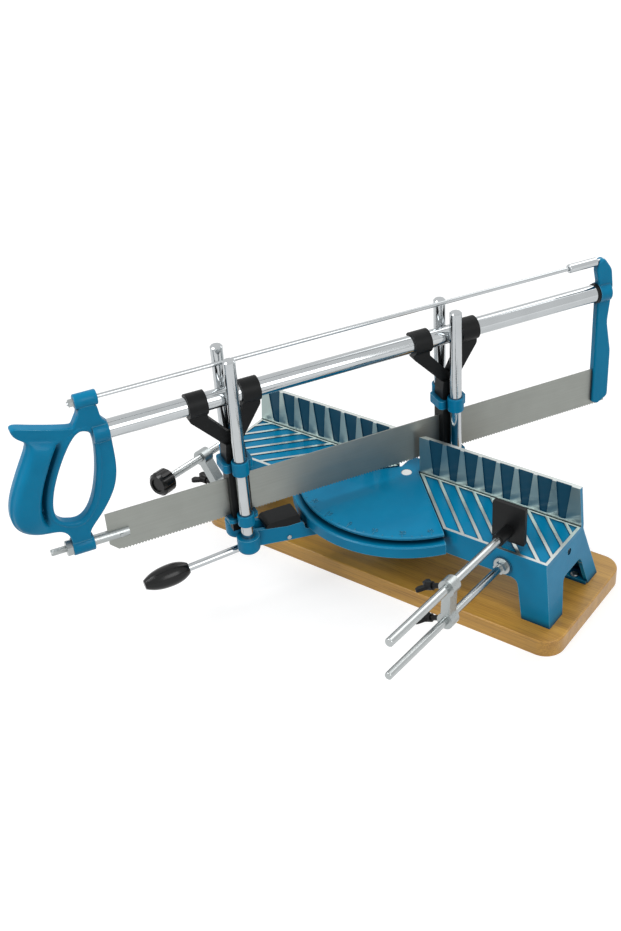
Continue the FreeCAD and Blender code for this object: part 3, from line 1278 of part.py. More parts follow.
def fluted_knob(axis, out):
    """Round knob with bevelled edges, flutes and a shallow recess in its outer face."""
    knob = rod(KNOB_RADIUS, V(0, 0, 0), V(0, 0, KNOB_LENGTH))
    rims = [e for e in knob.Edges if abs(e.CenterOfMass.z - KNOB_LENGTH / 2) > KNOB_LENGTH / 2 - 0.01]
    knob = knob.makeChamfer(KNOB_BEVEL, rims)
    cuts = [rod(KNOB_RECESS_RADIUS, V(0, 0, KNOB_LENGTH - KNOB_RECESS_DEPTH), V(0, 0, KNOB_LENGTH + 1))]
    for i in range(KNOB_FLUTES):
        angle = math.radians(360.0 * i / KNOB_FLUTES)
        centre = V(math.cos(angle), math.sin(angle), 0) * (KNOB_RADIUS + KNOB_FLUTE_RADIUS * 0.45)
        cuts.append(rod(KNOB_FLUTE_RADIUS, centre - UP, centre + UP * (KNOB_LENGTH + 1)))
    knob = knob.cut(Part.makeCompound(cuts))
    knob.Placement = FreeCAD.Placement(axis + out * KNOB_OUT, FreeCAD.Rotation(UP, out))
    return knob


def build():
    """Every piece of the saw, by name."""
    on_tables = {"right_table": table(RIGHT_BAR_X), "left_table": mirrored(table(LEFT_BAR_X)),
                 "right_end_screw": end_screw(), "left_end_screw": mirrored(end_screw()),
                 "right_clamp_bar": clamp_bar(1, RIGHT_BAR_X, RIGHT_BAR_LENGTH),
                 "right_bar_nut": bar_nut(1, RIGHT_BAR_X),
                 "left_clamp_bar": clamp_bar(-1, LEFT_BAR_X, LEFT_BAR_LENGTH),
                 "left_bar_nut": bar_nut(-1, LEFT_BAR_X)}
    for side, word in ((1, "right"), (-1, "left")):
        for y, where in zip(foot_screw_places(), ("front", "rear")):
            on_tables[word + "_" + where + "_foot_screw"] = foot_screw(side, y)
    on_tables.update(right_clamp())
    on_tables.update(left_clamp())
    swinging = {"arm": arm(), "latch_block": latch_block(), "latch_pin": latch_pin(),
                "latch_lever": latch_lever(), "lever_rod": lever_rod(), "lever_grip": lever_grip(),
                "index_spring": index_spring(), "blade": blade(), "handle": handle(),
                "frame_tube": frame_tube(), "end_ring": end_ring(), "far_arm": far_arm(),
                "end_pin": end_pin(), "tension_rod": tension_rod(), "tension_nut": tension_nut(),
                "tension_barrel": tension_barrel(), "blade_stud": blade_stud(),
                "clevis_pin": clevis_pin(), "stud_nut": stud_nut()}
    for place, u, top in (("front", FRONT_COLUMNS, FRONT_COLUMN_TOP), ("rear", REAR_COLUMNS, REAR_COLUMN_TOP)):
        swinging[place + "_near_column"] = column(u, -COLUMN_SPREAD, top)
        swinging[place + "_far_column"] = column(u, COLUMN_SPREAD, top)
        swinging[place + "_upper_yoke"] = upper_yoke(u)
        swinging[place + "_lower_yoke"] = lower_yoke(u)
        swinging[place + "_blade_guide"] = blade_guide(u)
        swinging[place + "_tube_clip"] = tube_clip(u)
    pieces = {"base_board": base_board(), "quadrant": quadrant(), "pivot_bolt": pivot_bolt(),
              "pivot_insert": pivot_insert(), "right_lug_screw": lug_screw(),
              "left_lug_screw": mirrored(lug_screw())}
    for name, shape in on_tables.items():
        pieces[name] = shape.translated(V(0, FENCE_BEHIND_PIVOT, 0))
    for name, shape in swinging.items():
        pieces[name] = at_mitre(shape)
    return pieces


os.makedirs("parts", exist_ok=True)
for piece_name, piece_shape in build().items():
    save(piece_name, piece_shape)
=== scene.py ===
import logging
import math
from dataclasses import dataclass, field
from enum import Enum
from functools import cache
from typing import Any

import bmesh
import bpy
import numpy as np
from mathutils import Matrix, Vector


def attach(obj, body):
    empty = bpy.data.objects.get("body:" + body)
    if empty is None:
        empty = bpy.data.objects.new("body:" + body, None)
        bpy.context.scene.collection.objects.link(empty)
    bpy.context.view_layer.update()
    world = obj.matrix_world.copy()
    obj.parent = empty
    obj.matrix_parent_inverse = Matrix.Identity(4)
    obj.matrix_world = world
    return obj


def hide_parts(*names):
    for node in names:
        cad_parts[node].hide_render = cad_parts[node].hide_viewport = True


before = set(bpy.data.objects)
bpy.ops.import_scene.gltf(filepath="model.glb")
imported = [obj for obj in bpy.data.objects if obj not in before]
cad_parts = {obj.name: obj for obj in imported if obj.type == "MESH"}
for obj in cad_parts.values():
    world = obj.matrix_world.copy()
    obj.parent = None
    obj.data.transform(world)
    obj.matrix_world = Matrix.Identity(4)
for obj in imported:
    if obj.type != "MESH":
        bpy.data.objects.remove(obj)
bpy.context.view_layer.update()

log = logging.getLogger("mitre_saw")

Two = tuple[float, float]
Three = tuple[float, float, float]
Four = tuple[float, float, float, float]
Tree = bpy.types.NodeTree

MM = 0.001
SAW_ANGLE = math.radians(60.0)
PHOTO_SIZE = (621, 931)
# Edges that turn by more than this stay sharp
SHARP_ANGLE = math.radians(38.0)
# Points of a new piece that lie closer than this are one point
MERGE_M = 1e-6


def saw_to_row(points: np.ndarray) -> np.ndarray:
    """Turn points drawn along the saw to the angle that it stands at.

    The formula is a turn about the vertical pivot axis by the saw's angle.

    Args:
        points: Array whose last axis is (distance along the blade, sideways, height) in mm.

    Returns:
        Array of the same shape in mm, in the frame of the whole saw.
    """
    cosine, sine = math.cos(SAW_ANGLE), math.sin(SAW_ANGLE)
    turn = np.array([[cosine, sine, 0.0], [-sine, cosine, 0.0], [0.0, 0.0, 1.0]])
    return points @ turn


# Node helpers


def wire(tree: Tree, node: Any, inputs: dict[str, Any] | tuple[Any, ...]) -> None:
    """Give a node's inputs their values and links.

    Args:
        tree: Node tree that the node stands in.
        node: Node whose inputs are set.
        inputs: Input name to what it gets, or just what the first inputs get: a value, an
            output that feeds it, or a node whose first output in use feeds it.
    """
    for name, value in inputs.items() if isinstance(inputs, dict) else enumerate(inputs):
        if isinstance(value, bpy.types.Node):
            value = next(output for output in value.outputs if output.enabled)
        if isinstance(value, bpy.types.NodeSocket):
            tree.links.new(value, node.inputs[name])
        else:
            node.inputs[name].default_value = value


def add(tree: Tree, kind: str, inputs: dict[str, Any] | tuple[Any, ...] = (), **settings: Any) -> Any:
    """Add one node with its settings, values and links.

    Args:
        tree: Node tree that gets the node.
        kind: Blender's name of the node type, without ShaderNode before it.
        inputs: What its inputs get, as for wire.
        **settings: Attributes of the node itself.

    Returns:
        The new node.
    """
    node = tree.nodes.new("ShaderNode" + kind)
    for name, value in settings.items():
        setattr(node, name, value)
    wire(tree, node, inputs)
    return node


def linear(colour: str) -> Four:
    """Turn an sRGB hex colour to linear light.

    Args:
        colour: Six hex digits after a hash sign.

    Returns:
        Linear red, green and blue, and full opacity.
    """
    values = np.array([int(colour[i:i + 2], 16) for i in (1, 3, 5)]) / 255.0
    values = np.where(values <= 0.04045, values / 12.92, ((values + 0.055) / 1.055) ** 2.4)
    return (*(float(v) for v in values), 1.0)


class Lay(Enum):
    """Way that drawing, grinding or grain lines run on a piece, as a turn about Z."""

    FENCE = 0.0
    SAW = SAW_ANGLE
    CLAMP = math.radians(90.0)


def empty_tree(holder: bpy.types.Material | bpy.types.World) -> Tree:
    """Let a material or a world use nodes, and empty its node tree.

    Args:
        holder: The material or the world.

    Returns:
        Its node tree.
    """
    holder.use_nodes = True
    holder.node_tree.nodes.clear()
    return holder.node_tree


def pattern(tree: Tree, size_mm: tuple[float, ...], detail: float = 2.0, lay: Lay = Lay.FENCE,
            rough: float = 0.5, bend: float = 0.0) -> Any:
    """Lay a cloudy pattern over a piece, in patches of a real size.

    Args:
        tree: Node tree that gets the nodes.
        size_mm: Length of one patch along the lay, across it and in height.
        detail: Number of finer layers in it.
        lay: Way that the first of these lengths runs.
        rough: Strength of the finer layers.
        bend: How much the patches are bent.

    Returns:
        Node whose level runs between 0 and 1 and is mostly near a half.
    """
    spot = add(tree, "TexCoord").outputs["Object"]
    turned = add(tree, "Mapping", {"Vector": spot, "Rotation": (0.0, 0.0, -lay.value)})
    sized = add(tree, "Mapping", {"Vector": turned, "Scale": tuple(1.0 / (size * MM) for size in size_mm)})
    return add(tree, "TexNoise", {"Vector": sized, "Scale": 1.0, "Detail": detail, "Roughness": rough,
                                  "Distortion": bend})


def vary(tree: Tree, shader: Any, tone: Any, colours: tuple[Four, Four], height: Any, relief: Two) -> Any:
    """Let patterns swing a shader's colour and relief.

    Args:
        tree: Node tree of the material.
        shader: Principled shader that is dressed.
        tone: Node or output that turns the first colour to the second.
        colours: The two linear colours.
        height: Node with the height of the relief.
        relief: Strength of the relief, and its depth in mm at full strength.

    Returns:
        Node with the colour.
    """
    colour = add(tree, "Mix", {"Factor": tone, "A": colours[0], "B": colours[1]}, data_type="RGBA")
    bump = add(tree, "Bump", {"Height": height, "Strength": relief[0], "Distance": relief[1] * MM})
    wire(tree, shader, {"Base Color": colour, "Normal": bump})
    return colour


# Finishes


@dataclass(frozen=True)
class Finish:
    """Finish whose material is built once and then shared.

    Args:
        name: Common name of the real material and its finish.
    """

    name: str

    @cache
    def material(self) -> bpy.types.Material:
        """Make the material: one principled shader, dressed, and an output.

        Returns:
            The material.
        """
        material = bpy.data.materials.new(self.name)
        tree = empty_tree(material)
        shader = add(tree, "BsdfPrincipled")
        output = add(tree, "OutputMaterial", {"Surface": shader})
        self.dress(tree, shader, output)
        return material

    def dress(self, tree: Tree, shader: Any, output: Any) -> Any:
        """Give the shader its patterns.

        Args:
            tree: Node tree of the material.
            shader: Principled shader that is dressed.
            output: The material's output, which it feeds.

        Returns:
            Node with the finish's colour.
        """
        raise NotImplementedError


@dataclass(frozen=True)
class Metal(Finish):
    """Bare or plated metal with fine lines from drawing, turning or grinding.

    Args:
        colour: Colour of its reflection.
        roughness: Middle of its roughness.
        spread: How far the roughness swings from its middle.
        line_mm: Length, width and height of one drawing line.
        lay: Way that the lines run.
        relief: Strength of the lines' relief.
        relief_mm: Its depth at full strength.
        levels: Levels of the lines at which the roughness is smallest and largest.
        blotch_mm: Size of the fainter mottling.
        dulled: Share of the light that its dullest places give back.
    """

    colour: str
    roughness: float
    spread: float = 0.05
    line_mm: Three = (40.0, 0.6, 0.6)
    lay: Lay = Lay.SAW
    relief: float = 0.04
    relief_mm: float = 0.1
    levels: Two = (0.3, 0.7)
    blotch_mm: float = 25.0
    dulled: float = 0.86

    def dress(self, tree: Tree, shader: Any, output: Any) -> Any:
        """Let lines swing the roughness, and a fainter mottling the colour.

        Args:
            tree: Node tree of the material.
            shader: Principled shader that is dressed.
            output: The material's output, which the shader feeds.

        Returns:
            Node with the metal's colour.
        """
        lines = pattern(tree, self.line_mm, 3.0, self.lay, 0.6)
        bright = linear(self.colour)
        dull = tuple(self.dulled * c for c in bright[:3]) + (1.0,)
        swing = (self.roughness - self.spread, self.roughness + self.spread)
        mottling = pattern(tree, (self.blotch_mm,) * 3)
        haze = add(tree, "MapRange", (lines, *self.levels, *swing))
        wire(tree, shader, {"Roughness": haze, "Metallic": 1.0})
        return vary(tree, shader, mottling, (bright, dull), lines, (self.relief, self.relief_mm))


# Bright chromium over a ground steel bar: a clear mirror with hardly any haze.
CHROME = Metal("bright_chrome_plate", "#BCC0C2", 0.1, 0.03, (60.0, 1.2, 1.2), Lay.SAW, 0.01)
# The same plate on the clamp bars, whose faint drawing lines run towards the user.
CLAMP_CHROME = Metal("bright_chrome_plate_on_clamps", "#B4B8B8", 0.24, 0.06, (40.0, 1.0, 1.0), Lay.CLAMP,
                     0.03)
# Bright zinc over turned and stamped steel: a soft grey sheen with a fine satin haze.
ZINC = Metal("bright_zinc_plate", "#A9AEAE", 0.32, 0.08, (1.5, 1.5, 1.5), Lay.FENCE, 0.08)
# Ground spring steel: a dull grey sheen, drawn out along the blade by the grinding belt.
BLADE_STEEL = Metal("ground_spring_steel", "#979A95", 0.46, 0.07, (60.0, 0.8, 0.8), Lay.SAW, 0.1)
# Aluminium turned bright and left bare: a light satin disc.
TURNED_ALUMINIUM = Metal("turned_aluminium", "#E2E5E3", 0.38, 0.06, (0.8, 0.8, 0.8), Lay.FENCE, 0.05)


@dataclass(frozen=True)
class Enamel(Finish):
    """Stoved enamel over an aluminium casting.

    Args:
        colour: Colour of the enamel.
        shade: Colour where it lies thin or in a recess.
        cloud_mm: Size of the patches of these two colours.
        peel_mm: Size of the orange peel.
        grit_mm: Size of the casting's grit under the enamel.
        relief: Strength of the relief of both, and its depth in mm.
        gloss: Smallest and largest roughness.
        mirror: Strength of the enamel's own reflection.
        coat: Strength and roughness of the clear gloss on it.
        rubbed: Pale colour painted along the edges as a highlight.
        corner: Dark colour painted in the corners as shade.
        edge_mm: Width of the painted highlight on the edges.
        edge_turn: How well the rounded and the true normal agree, where the painted highlight starts and is
            full.
        corner_mm: Reach of the painted shade in the corners.
        corner_air: Share of open air where the painted shade is full, and from where there is none.
    """

    colour: str = "#008AB6"
    shade: str = "#006F99"
    cloud_mm: float = 35.0
    peel_mm: float = 2.4
    grit_mm: float = 0.9
    relief: Two = (0.25, 0.2)
    gloss: Two = (0.3, 0.42)
    mirror: float = 0.1
    coat: Two = (0.1, 0.08)
    # Painted highlight along the edges, and painted shade in the corners
    rubbed: str = "#8FD3E6"
    corner: str = "#003852"
    edge_mm: float = 1.3
    edge_turn: Two = (0.985, 0.8)
    corner_mm: float = 9.0
    corner_air: Two = (0.55, 0.95)

    def dress(self, tree: Tree, shader: Any, output: Any) -> Any:
        """Lay a cloudy colour, orange peel and grit under a clear gloss, and paint highlights on the edges
        and shade in the corners.

        Args:
            tree: Node tree of the material.
            shader: Principled shader that is dressed.
            output: The material's output, which the shader feeds.

        Returns:
            Node with the enamel's colour.
        """
        clouds = pattern(tree, (self.cloud_mm,) * 3, 3.0)
        peel = pattern(tree, (self.peel_mm,) * 3, 1.0)
        grit = pattern(tree, (self.grit_mm,) * 3)
        height = add(tree, "Math", (peel, grit), operation="ADD")
        colour = vary(tree, shader, clouds, (linear(self.colour), linear(self.shade)), height, self.relief)
        # The enamel's colour gets a painted highlight on its edges and painted shade in its corners
        colour_with_painted_light = self.wear(tree, colour, clouds)
        haze = add(tree, "MapRange", (clouds, 0.0, 1.0, *self.gloss))
        wire(tree, shader, {"Base Color": colour_with_painted_light, "Roughness": haze, "Specular IOR Level": self.mirror,
                            "Coat Weight": self.coat[0], "Coat Roughness": self.coat[1]})
        return colour_with_painted_light

    def wear(self, tree: Tree, colour: Any, patches: Any) -> Any:
        """Paint a highlight on the enamel's edges and shade in its corners.

        An edge is where the rounded normal leaves the true one, and the shade is painted
        where neighbouring faces hide the open air.

        Args:
            tree: Node tree of the material.
            colour: Node with the enamel's plain colour.
            patches: Node that says how strong the painted highlight is from place to place.

        Returns:
            Node with the colour and its painted highlight and shade.
        """
        # Painted highlight: pale colour where the Bevel normal leaves the true normal, at the edges
        rounded = add(tree, "Bevel", {"Radius": self.edge_mm * MM}, samples=6)
        true = add(tree, "NewGeometry").outputs["Normal"]
        agree = add(tree, "VectorMath", (rounded, true), operation="DOT_PRODUCT")
        edge = add(tree, "MapRange", (agree, *self.edge_turn))
        # Painted shade: dark colour where ambient occlusion finds the open air hidden, in the corners
        air = add(tree, "AmbientOcclusion", {"Distance": self.corner_mm * MM}, samples=8)
        free = add(tree, "MapRange", (air.outputs["AO"], *self.corner_air))
        # Mask of the painted highlight, kept out of the painted shade and varied in patches
        bare = add(tree, "Math", (edge, free), operation="MULTIPLY")
        bare = add(tree, "Math", (bare, patches), operation="MULTIPLY")
        corner_shaded = add(tree, "Mix", {"Factor": free, "A": linear(self.corner), "B": colour}, data_type="RGBA")
        return add(tree, "Mix", {"Factor": bare, "A": corner_shaded, "B": linear(self.rubbed)}, data_type="RGBA")


# Blue enamel stoved on a sand casting: an even gloss, with a painted highlight on its edges and painted
# shade in its corners.
ENAMEL = Enamel("stoved_blue_enamel")


@dataclass(frozen=True)
class MachinedCasting(Enamel):
    """Enamelled table whose raised strips and fence ribs are milled bare.

    Args:
        milled: Colour of the bare milled aluminium.
        ribs: Colour of the fence ribs, whose coarser milling is duller.
        cut_mm: Width, length and height of one mark of the milling cutter.
        haze: Smallest and largest roughness of the bare metal.
        cut_relief: Strength and depth in mm of the cutter's marks.
        table_top_mm: Height of the milled strips.
        fence_top_mm: Height of the fence's upper edge.
        recess_mm: Depth of the fence's painted recesses.
        recess: Darker blue painted as shade on the enamel in the fence's recesses.
        fence_face_mm: How far behind the pivot the fence's face stands.
        foot_mm: Width of the shadow painted on the table's top along the fence's foot.
        foot: Nearly black colour painted there as shadow.
        square: How far a face may lean and still count as level or as facing the front.
        slack_mm: How far a face may be from the table's top, the fence's top and its front.
    """

    milled: str = "#CDD3D0"
    ribs: str = "#9DACAA"
    cut_mm: Three = (0.5, 30.0, 0.5)
    haze: Two = (0.28, 0.48)
    cut_relief: Two = (0.12, 0.1)
    table_top_mm: float = 92.0
    fence_top_mm: float = 134.0
    recess_mm: float = 1.2
    # Painted shade for the enamel in the fence's recesses
    recess: str = "#1D4A60"
    fence_face_mm: float = 6.0
    foot_mm: float = 1.1
    # Painted shadow along the fence's foot
    foot: str = "#1A2022"
    square: float = 0.2
    slack_mm: Three = (0.15, 0.3, 0.2)

    def dress(self, tree: Tree, shader: Any, output: Any) -> Any:
        """Bare the milled faces and enamel everything else, with painted shade in the fence's recesses and a
        painted shadow along its foot.

        A face is milled where it looks up at the table's own height, or where it looks
        to the front at the fence's own front. Both tests read the place and the true normal.

        Args:
            tree: Node tree of the material.
            shader: Principled shader that is dressed.
            output: The material's output, which the shader feeds.

        Returns:
            Node with the bare metal's colour.
        """
        colour_with_painted_light = super().dress(tree, shader, output)
        spot = add(tree, "TexCoord").outputs["Object"]
        spot = add(tree, "SeparateXYZ", (spot,)).outputs
        facing = add(tree, "NewGeometry").outputs["True Normal"]
        facing = add(tree, "SeparateXYZ", (facing,)).outputs
        low, high, front = self.slack_mm
        foot_shadow_middle = self.fence_face_mm - self.foot_mm / 2
        # Which way a face looks and where it lies: strips, fence top, fence ribs, fence recesses
        masks = []
        for axis, way, place, slack in (("Z", 1.0, self.table_top_mm, low),
                                        ("Z", 1.0, self.fence_top_mm, high),
                                        ("Y", -1.0, self.fence_face_mm, front),
                                        ("Y", -1.0, self.fence_face_mm + self.recess_mm, front)):
            faces = add(tree, "Math", (facing[axis], way, self.square), operation="COMPARE")
            lies = add(tree, "Math", (spot[axis], place * MM, slack * MM), operation="COMPARE")
            masks.append(add(tree, "Math", (faces, lies), operation="MULTIPLY"))
        on_table, on_crest, on_fence, in_recess = masks
        # Painted shadow: a strip of the level milled face along the fence's foot
        lies = add(tree, "Math", (spot["Y"], foot_shadow_middle * MM, self.foot_mm / 2 * MM), operation="COMPARE")
        foot_shadow_mask = add(tree, "Math", (on_table, lies), operation="MULTIPLY")
        # Painted shade: the enamel in the fence's recesses gets a darker blue
        blue = add(tree, "Mix", {"Factor": in_recess, "A": colour_with_painted_light, "B": linear(self.recess)}, data_type="RGBA")
        wire(tree, shader, {"Base Color": blue})
        cut = pattern(tree, self.cut_mm)
        bare = add(tree, "BsdfPrincipled", {"Metallic": 1.0})
        metal = vary(tree, bare, on_fence, (linear(self.milled), linear(self.ribs)), cut, self.cut_relief)
        # The painted shadow darkens the milled metal in that strip
        metal = add(tree, "Mix", {"Factor": foot_shadow_mask, "A": metal, "B": linear(self.foot)}, data_type="RGBA")
        haze = add(tree, "MapRange", (cut, 0.0, 1.0, *self.haze))
        wire(tree, bare, {"Base Color": metal, "Roughness": haze})
        milled = add(tree, "Math", (on_table, on_fence), operation="MAXIMUM")
        milled = add(tree, "Math", (milled, on_crest), operation="MAXIMUM")
        wire(tree, output, {"Surface": add(tree, "MixShader", (milled, shader, bare))})
        return metal


# Sand casting that is enamelled and then milled: pale, cross-cut strips between blue slots.
TABLE_CASTING = MachinedCasting("stoved_enamel_and_milled_aluminium")


@dataclass(frozen=True)
class Moulding(Finish):
    """Moulded plastic, or steel under black stoved paint.

    Args:
        colour: Its colour.
        roughness: Middle of its roughness.
        grain_mm: Size of the mould's spark-eroded grain.
        relief: Strength of that grain.
        mirror: How much its surface mirrors.
        relief_mm: Depth of the grain at full strength.
        swing: How much smoother and rougher it is from place to place.
        dust_mm: Size of the patches of dust.
        dusted: How many times brighter dust makes the colour, and how much it adds.
    """

    colour: str
    roughness: float
    grain_mm: float = 0.8
    relief: float = 0.2
    mirror: float = 0.2
    relief_mm: float = 0.15
    swing: Two = (0.06, 0.08)
    dust_mm: float = 14.0
    dusted: Two = (1.6, 0.004)

    def dress(self, tree: Tree, shader: Any, output: Any) -> Any:
        """Lay fine mould grain, and dust that greys it a little.

        Args:
            tree: Node tree of the material.
            shader: Principled shader that is dressed.
            output: The material's output, which the shader feeds.

        Returns:
            Node with the dusty colour.
        """
        dust = pattern(tree, (self.dust_mm,) * 3, 4.0)
        base = linear(self.colour)
        times, more = self.dusted
        dusty = tuple(times * c + more for c in base[:3]) + (1.0,)
        grain = pattern(tree, (self.grain_mm,) * 3)
        less, more = self.swing
        haze = add(tree, "MapRange", (dust, 0.0, 1.0, self.roughness - less, self.roughness + more))
        wire(tree, shader, {"Roughness": haze, "Specular IOR Level": self.mirror})
        return vary(tree, shader, dust, (base, dusty), grain, (self.relief, self.relief_mm))


# Glass-filled nylon, moulded: nearly black with a soft satin light on its edges.
NYLON = Moulding("moulded_black_nylon", "#0B0D0E", 0.45, mirror=0.16)
# Phenolic knob and grip, moulded and buffed: black with clear highlights.
PHENOLIC = Moulding("buffed_black_phenolic", "#08090A", 0.22, 1.5, 0.06, 0.3)
# Pressed steel under black stoved paint: flat black with a faint sheen.
BLACK_STEEL = Moulding("stoved_black_steel", "#08090A", 0.4, 1.0, 0.12, 0.2)


@dataclass(frozen=True)
class Beech(Finish):
    """Sawn and varnished beech board, with its grain along the fence.

    Args:
        light: Colour of the early wood.
        dark: Colour of the late wood.
        ring_mm: Length, width and height of one wave of the growth rings.
        pore_mm: Length, width and height of one pore.
        fleck_mm: Length, width and height of the short dark flecks.
        figure: Product of rings and pores where the wood is all light, and where it is all dark.
        flecked: Pattern's level where a fleck starts and where it is full.
        fleck_tone: How much darker a fleck is.
        relief: Strength and depth in mm of the pores' relief.
        roughness: Roughness of the wood.
        varnish: Strength and roughness of the varnish.
    """

    name: str = "varnished_beech"
    light: str = "#DCA847"
    dark: str = "#85561C"
    ring_mm: Three = (308.0, 14.0, 19.6)
    pore_mm: Three = (55.0, 0.9, 1.2)
    fleck_mm: Three = (9.0, 0.7, 0.7)
    figure: Two = (0.05, 0.55)
    flecked: Two = (0.66, 0.76)
    fleck_tone: float = 0.2
    relief: Two = (0.12, 0.15)
    roughness: float = 0.42
    varnish: Two = (0.25, 0.2)

    def dress(self, tree: Tree, shader: Any, output: Any) -> Any:
        """Lay wavy growth rings along the board, short flecks and a clear varnish.

        Args:
            tree: Node tree of the material.
            shader: Principled shader that is dressed.
            output: The material's output, which the shader feeds.

        Returns:
            Node with the wood's colour.
        """
        rings = pattern(tree, self.ring_mm, 3.0, rough=0.55, bend=0.4)
        pores = pattern(tree, self.pore_mm, 4.0, rough=0.6)
        grain = add(tree, "Math", (rings, pores), operation="MULTIPLY")
        figure = add(tree, "MapRange", (grain, *self.figure))
        flecks = pattern(tree, self.fleck_mm, 0.0)
        flecks = add(tree, "MapRange", (flecks, *self.flecked, 0.0, self.fleck_tone))
        dark = add(tree, "Math", (figure, flecks), operation="ADD")
        wire(tree, shader, {"Roughness": self.roughness, "Coat Weight": self.varnish[0],
                            "Coat Roughness": self.varnish[1]})
        return vary(tree, shader, dark, (linear(self.light), linear(self.dark)), pores, self.relief)


# Mesh helpers


def stand(name: str, data: Any) -> bpy.types.Object:
    """Make an object of a mesh, a lamp or a camera, and link it to the scene.

    Args:
        name: Name of the object.
        data: The mesh, lamp or camera.

    Returns:
        The new object.
    """
    holder = bpy.data.objects.new(name, data)
    bpy.context.collection.objects.link(holder)
    return holder


def grid_quads(rows: int, columns: int) -> np.ndarray:
    """Give the faces of a grid whose columns run round to their start.

    Args:
        rows: Number of rows.
        columns: Number of points in each row.

    Returns:
        Array (faces, 4) of point numbers, row by row.
    """
    row, column = np.meshgrid(np.arange(rows - 1), np.arange(columns), indexing="ij")
    onward = (column + 1) % columns
    corners = (row * columns + column, row * columns + onward, (row + 1) * columns + onward,
               (row + 1) * columns + column)
    return np.stack(corners, axis=-1).reshape(-1, 4)


def put(name: str, grids: list[np.ndarray], body: str, finish: Finish) -> bpy.types.Object:
    """Make a mesh object of grids whose columns run round, and let it ride on a body.

    Points that coincide are merged, so that poles and seams close.

    Args:
        name: Name of the piece.
        grids: Arrays (rows, columns, 3) in mm, in the frame of the whole saw.
        body: Body that the piece moves with.
        finish: Finish whose material it gets.

    Returns:
        The new object.
    """
    firsts = np.cumsum([0] + [grid.shape[0] * grid.shape[1] for grid in grids[:-1]])
    quads = np.concatenate([grid_quads(*grid.shape[:2]) + first for grid, first in zip(grids, firsts)])
    mesh = bpy.data.meshes.new(name)
    mesh.from_pydata(np.concatenate([grid.reshape(-1, 3) for grid in grids]) * MM, [], quads)
    shape = bmesh.new()
    shape.from_mesh(mesh)
    bmesh.ops.remove_doubles(shape, verts=shape.verts, dist=MERGE_M)
    bmesh.ops.recalc_face_normals(shape, faces=shape.faces)
    shape.to_mesh(mesh)
    shape.free()
    piece = stand(name, mesh)
    mesh.materials.append(finish.material())
    mesh.shade_smooth()
    mesh.set_sharp_from_angle(angle=SHARP_ANGLE)
    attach(piece, body)
    log.info("piece %s: %d faces", name, len(mesh.polygons))
    return piece


def round_axis(start: np.ndarray, axis: np.ndarray, distance: np.ndarray, radius: np.ndarray,
               columns: int) -> np.ndarray:
    """Bend a grid of distances and radii round an axis.

    A point is start + distance * axis + radius * (cos a * first + sin a * second), where a
    runs once round over the columns, and first and second are unit directions square to
    the axis.

    Args:
        start: Start of the axis in mm.
        axis: Unit direction of the axis.
        distance: Array (rows, columns or 1) of distances along the axis in mm.
        radius: Array (rows, columns or 1) of distances from the axis in mm.
        columns: Number of points round the axis.

    Returns:
        Array (rows, columns, 3) in mm.
    """
    angle = np.linspace(0.0, math.tau, columns, endpoint=False)
    side = np.cross(axis, (0.0, 0.0, 1.0) if abs(axis[2]) < 0.9 else (1.0, 0.0, 0.0))
    first = side / np.linalg.norm(side)
    second = np.cross(axis, first)
    spoke = np.cos(angle)[:, None] * first + np.sin(angle)[:, None] * second
    return start + distance[..., None] * axis + radius[..., None] * spoke[None]


@dataclass(frozen=True)
class Thread:
    """Rolled screw thread with closed ends, round an axis.

    The radius at distance s and angle a is crest - depth * |2 * frac(s / pitch - a / turn) - 1|,
    a triangular wave that climbs by one pitch in one turn.

    Args:
        start: Start of the axis in mm.
        axis: Unit direction of the axis.
        length: Length in mm.
        crest: Radius over the crests in mm.
        pitch: Distance from crest to crest in mm.
        depth: Depth of the groove in mm.
        tip: Length and radius of a plain tip before the start, in mm.
        columns: Number of points round the axis.
        steps: Number of rows in one pitch.
    """

    start: np.ndarray
    axis: np.ndarray
    length: float
    crest: float
    pitch: float = 1.25
    depth: float = 0.62
    tip: Two = (0.0, 0.0)
    columns: int = 20
    steps: int = 6

    def points(self) -> np.ndarray:
        """Compute the grid of points.

        Returns:
            Array (rows, columns, 3) in mm.
        """
        rows = int(self.length / self.pitch * self.steps)
        along = np.linspace(0.0, self.length, rows)[:, None]
        turn = np.linspace(0.0, 1.0, self.columns, endpoint=False)[None]
        wave = np.abs(2.0 * np.mod(along / self.pitch - turn, 1.0) - 1.0)
        taper = np.clip(np.minimum(along, self.length - along) / self.pitch, 0.0, 1.0)
        radius = self.crest - self.depth * (1.0 - taper * (1.0 - wave))
        length, thin = self.tip
        before = np.array([(-length, 0.0), (-length, thin), (0.0, thin)] if length else [(0.0, 0.0)])
        distance = np.concatenate([before[:, :1], along, [[self.length]]])
        width = np.concatenate([np.repeat(before[:, 1:], self.columns, axis=1), radius,
                                np.zeros((1, self.columns))])
        return round_axis(self.start, self.axis, distance, width, self.columns)


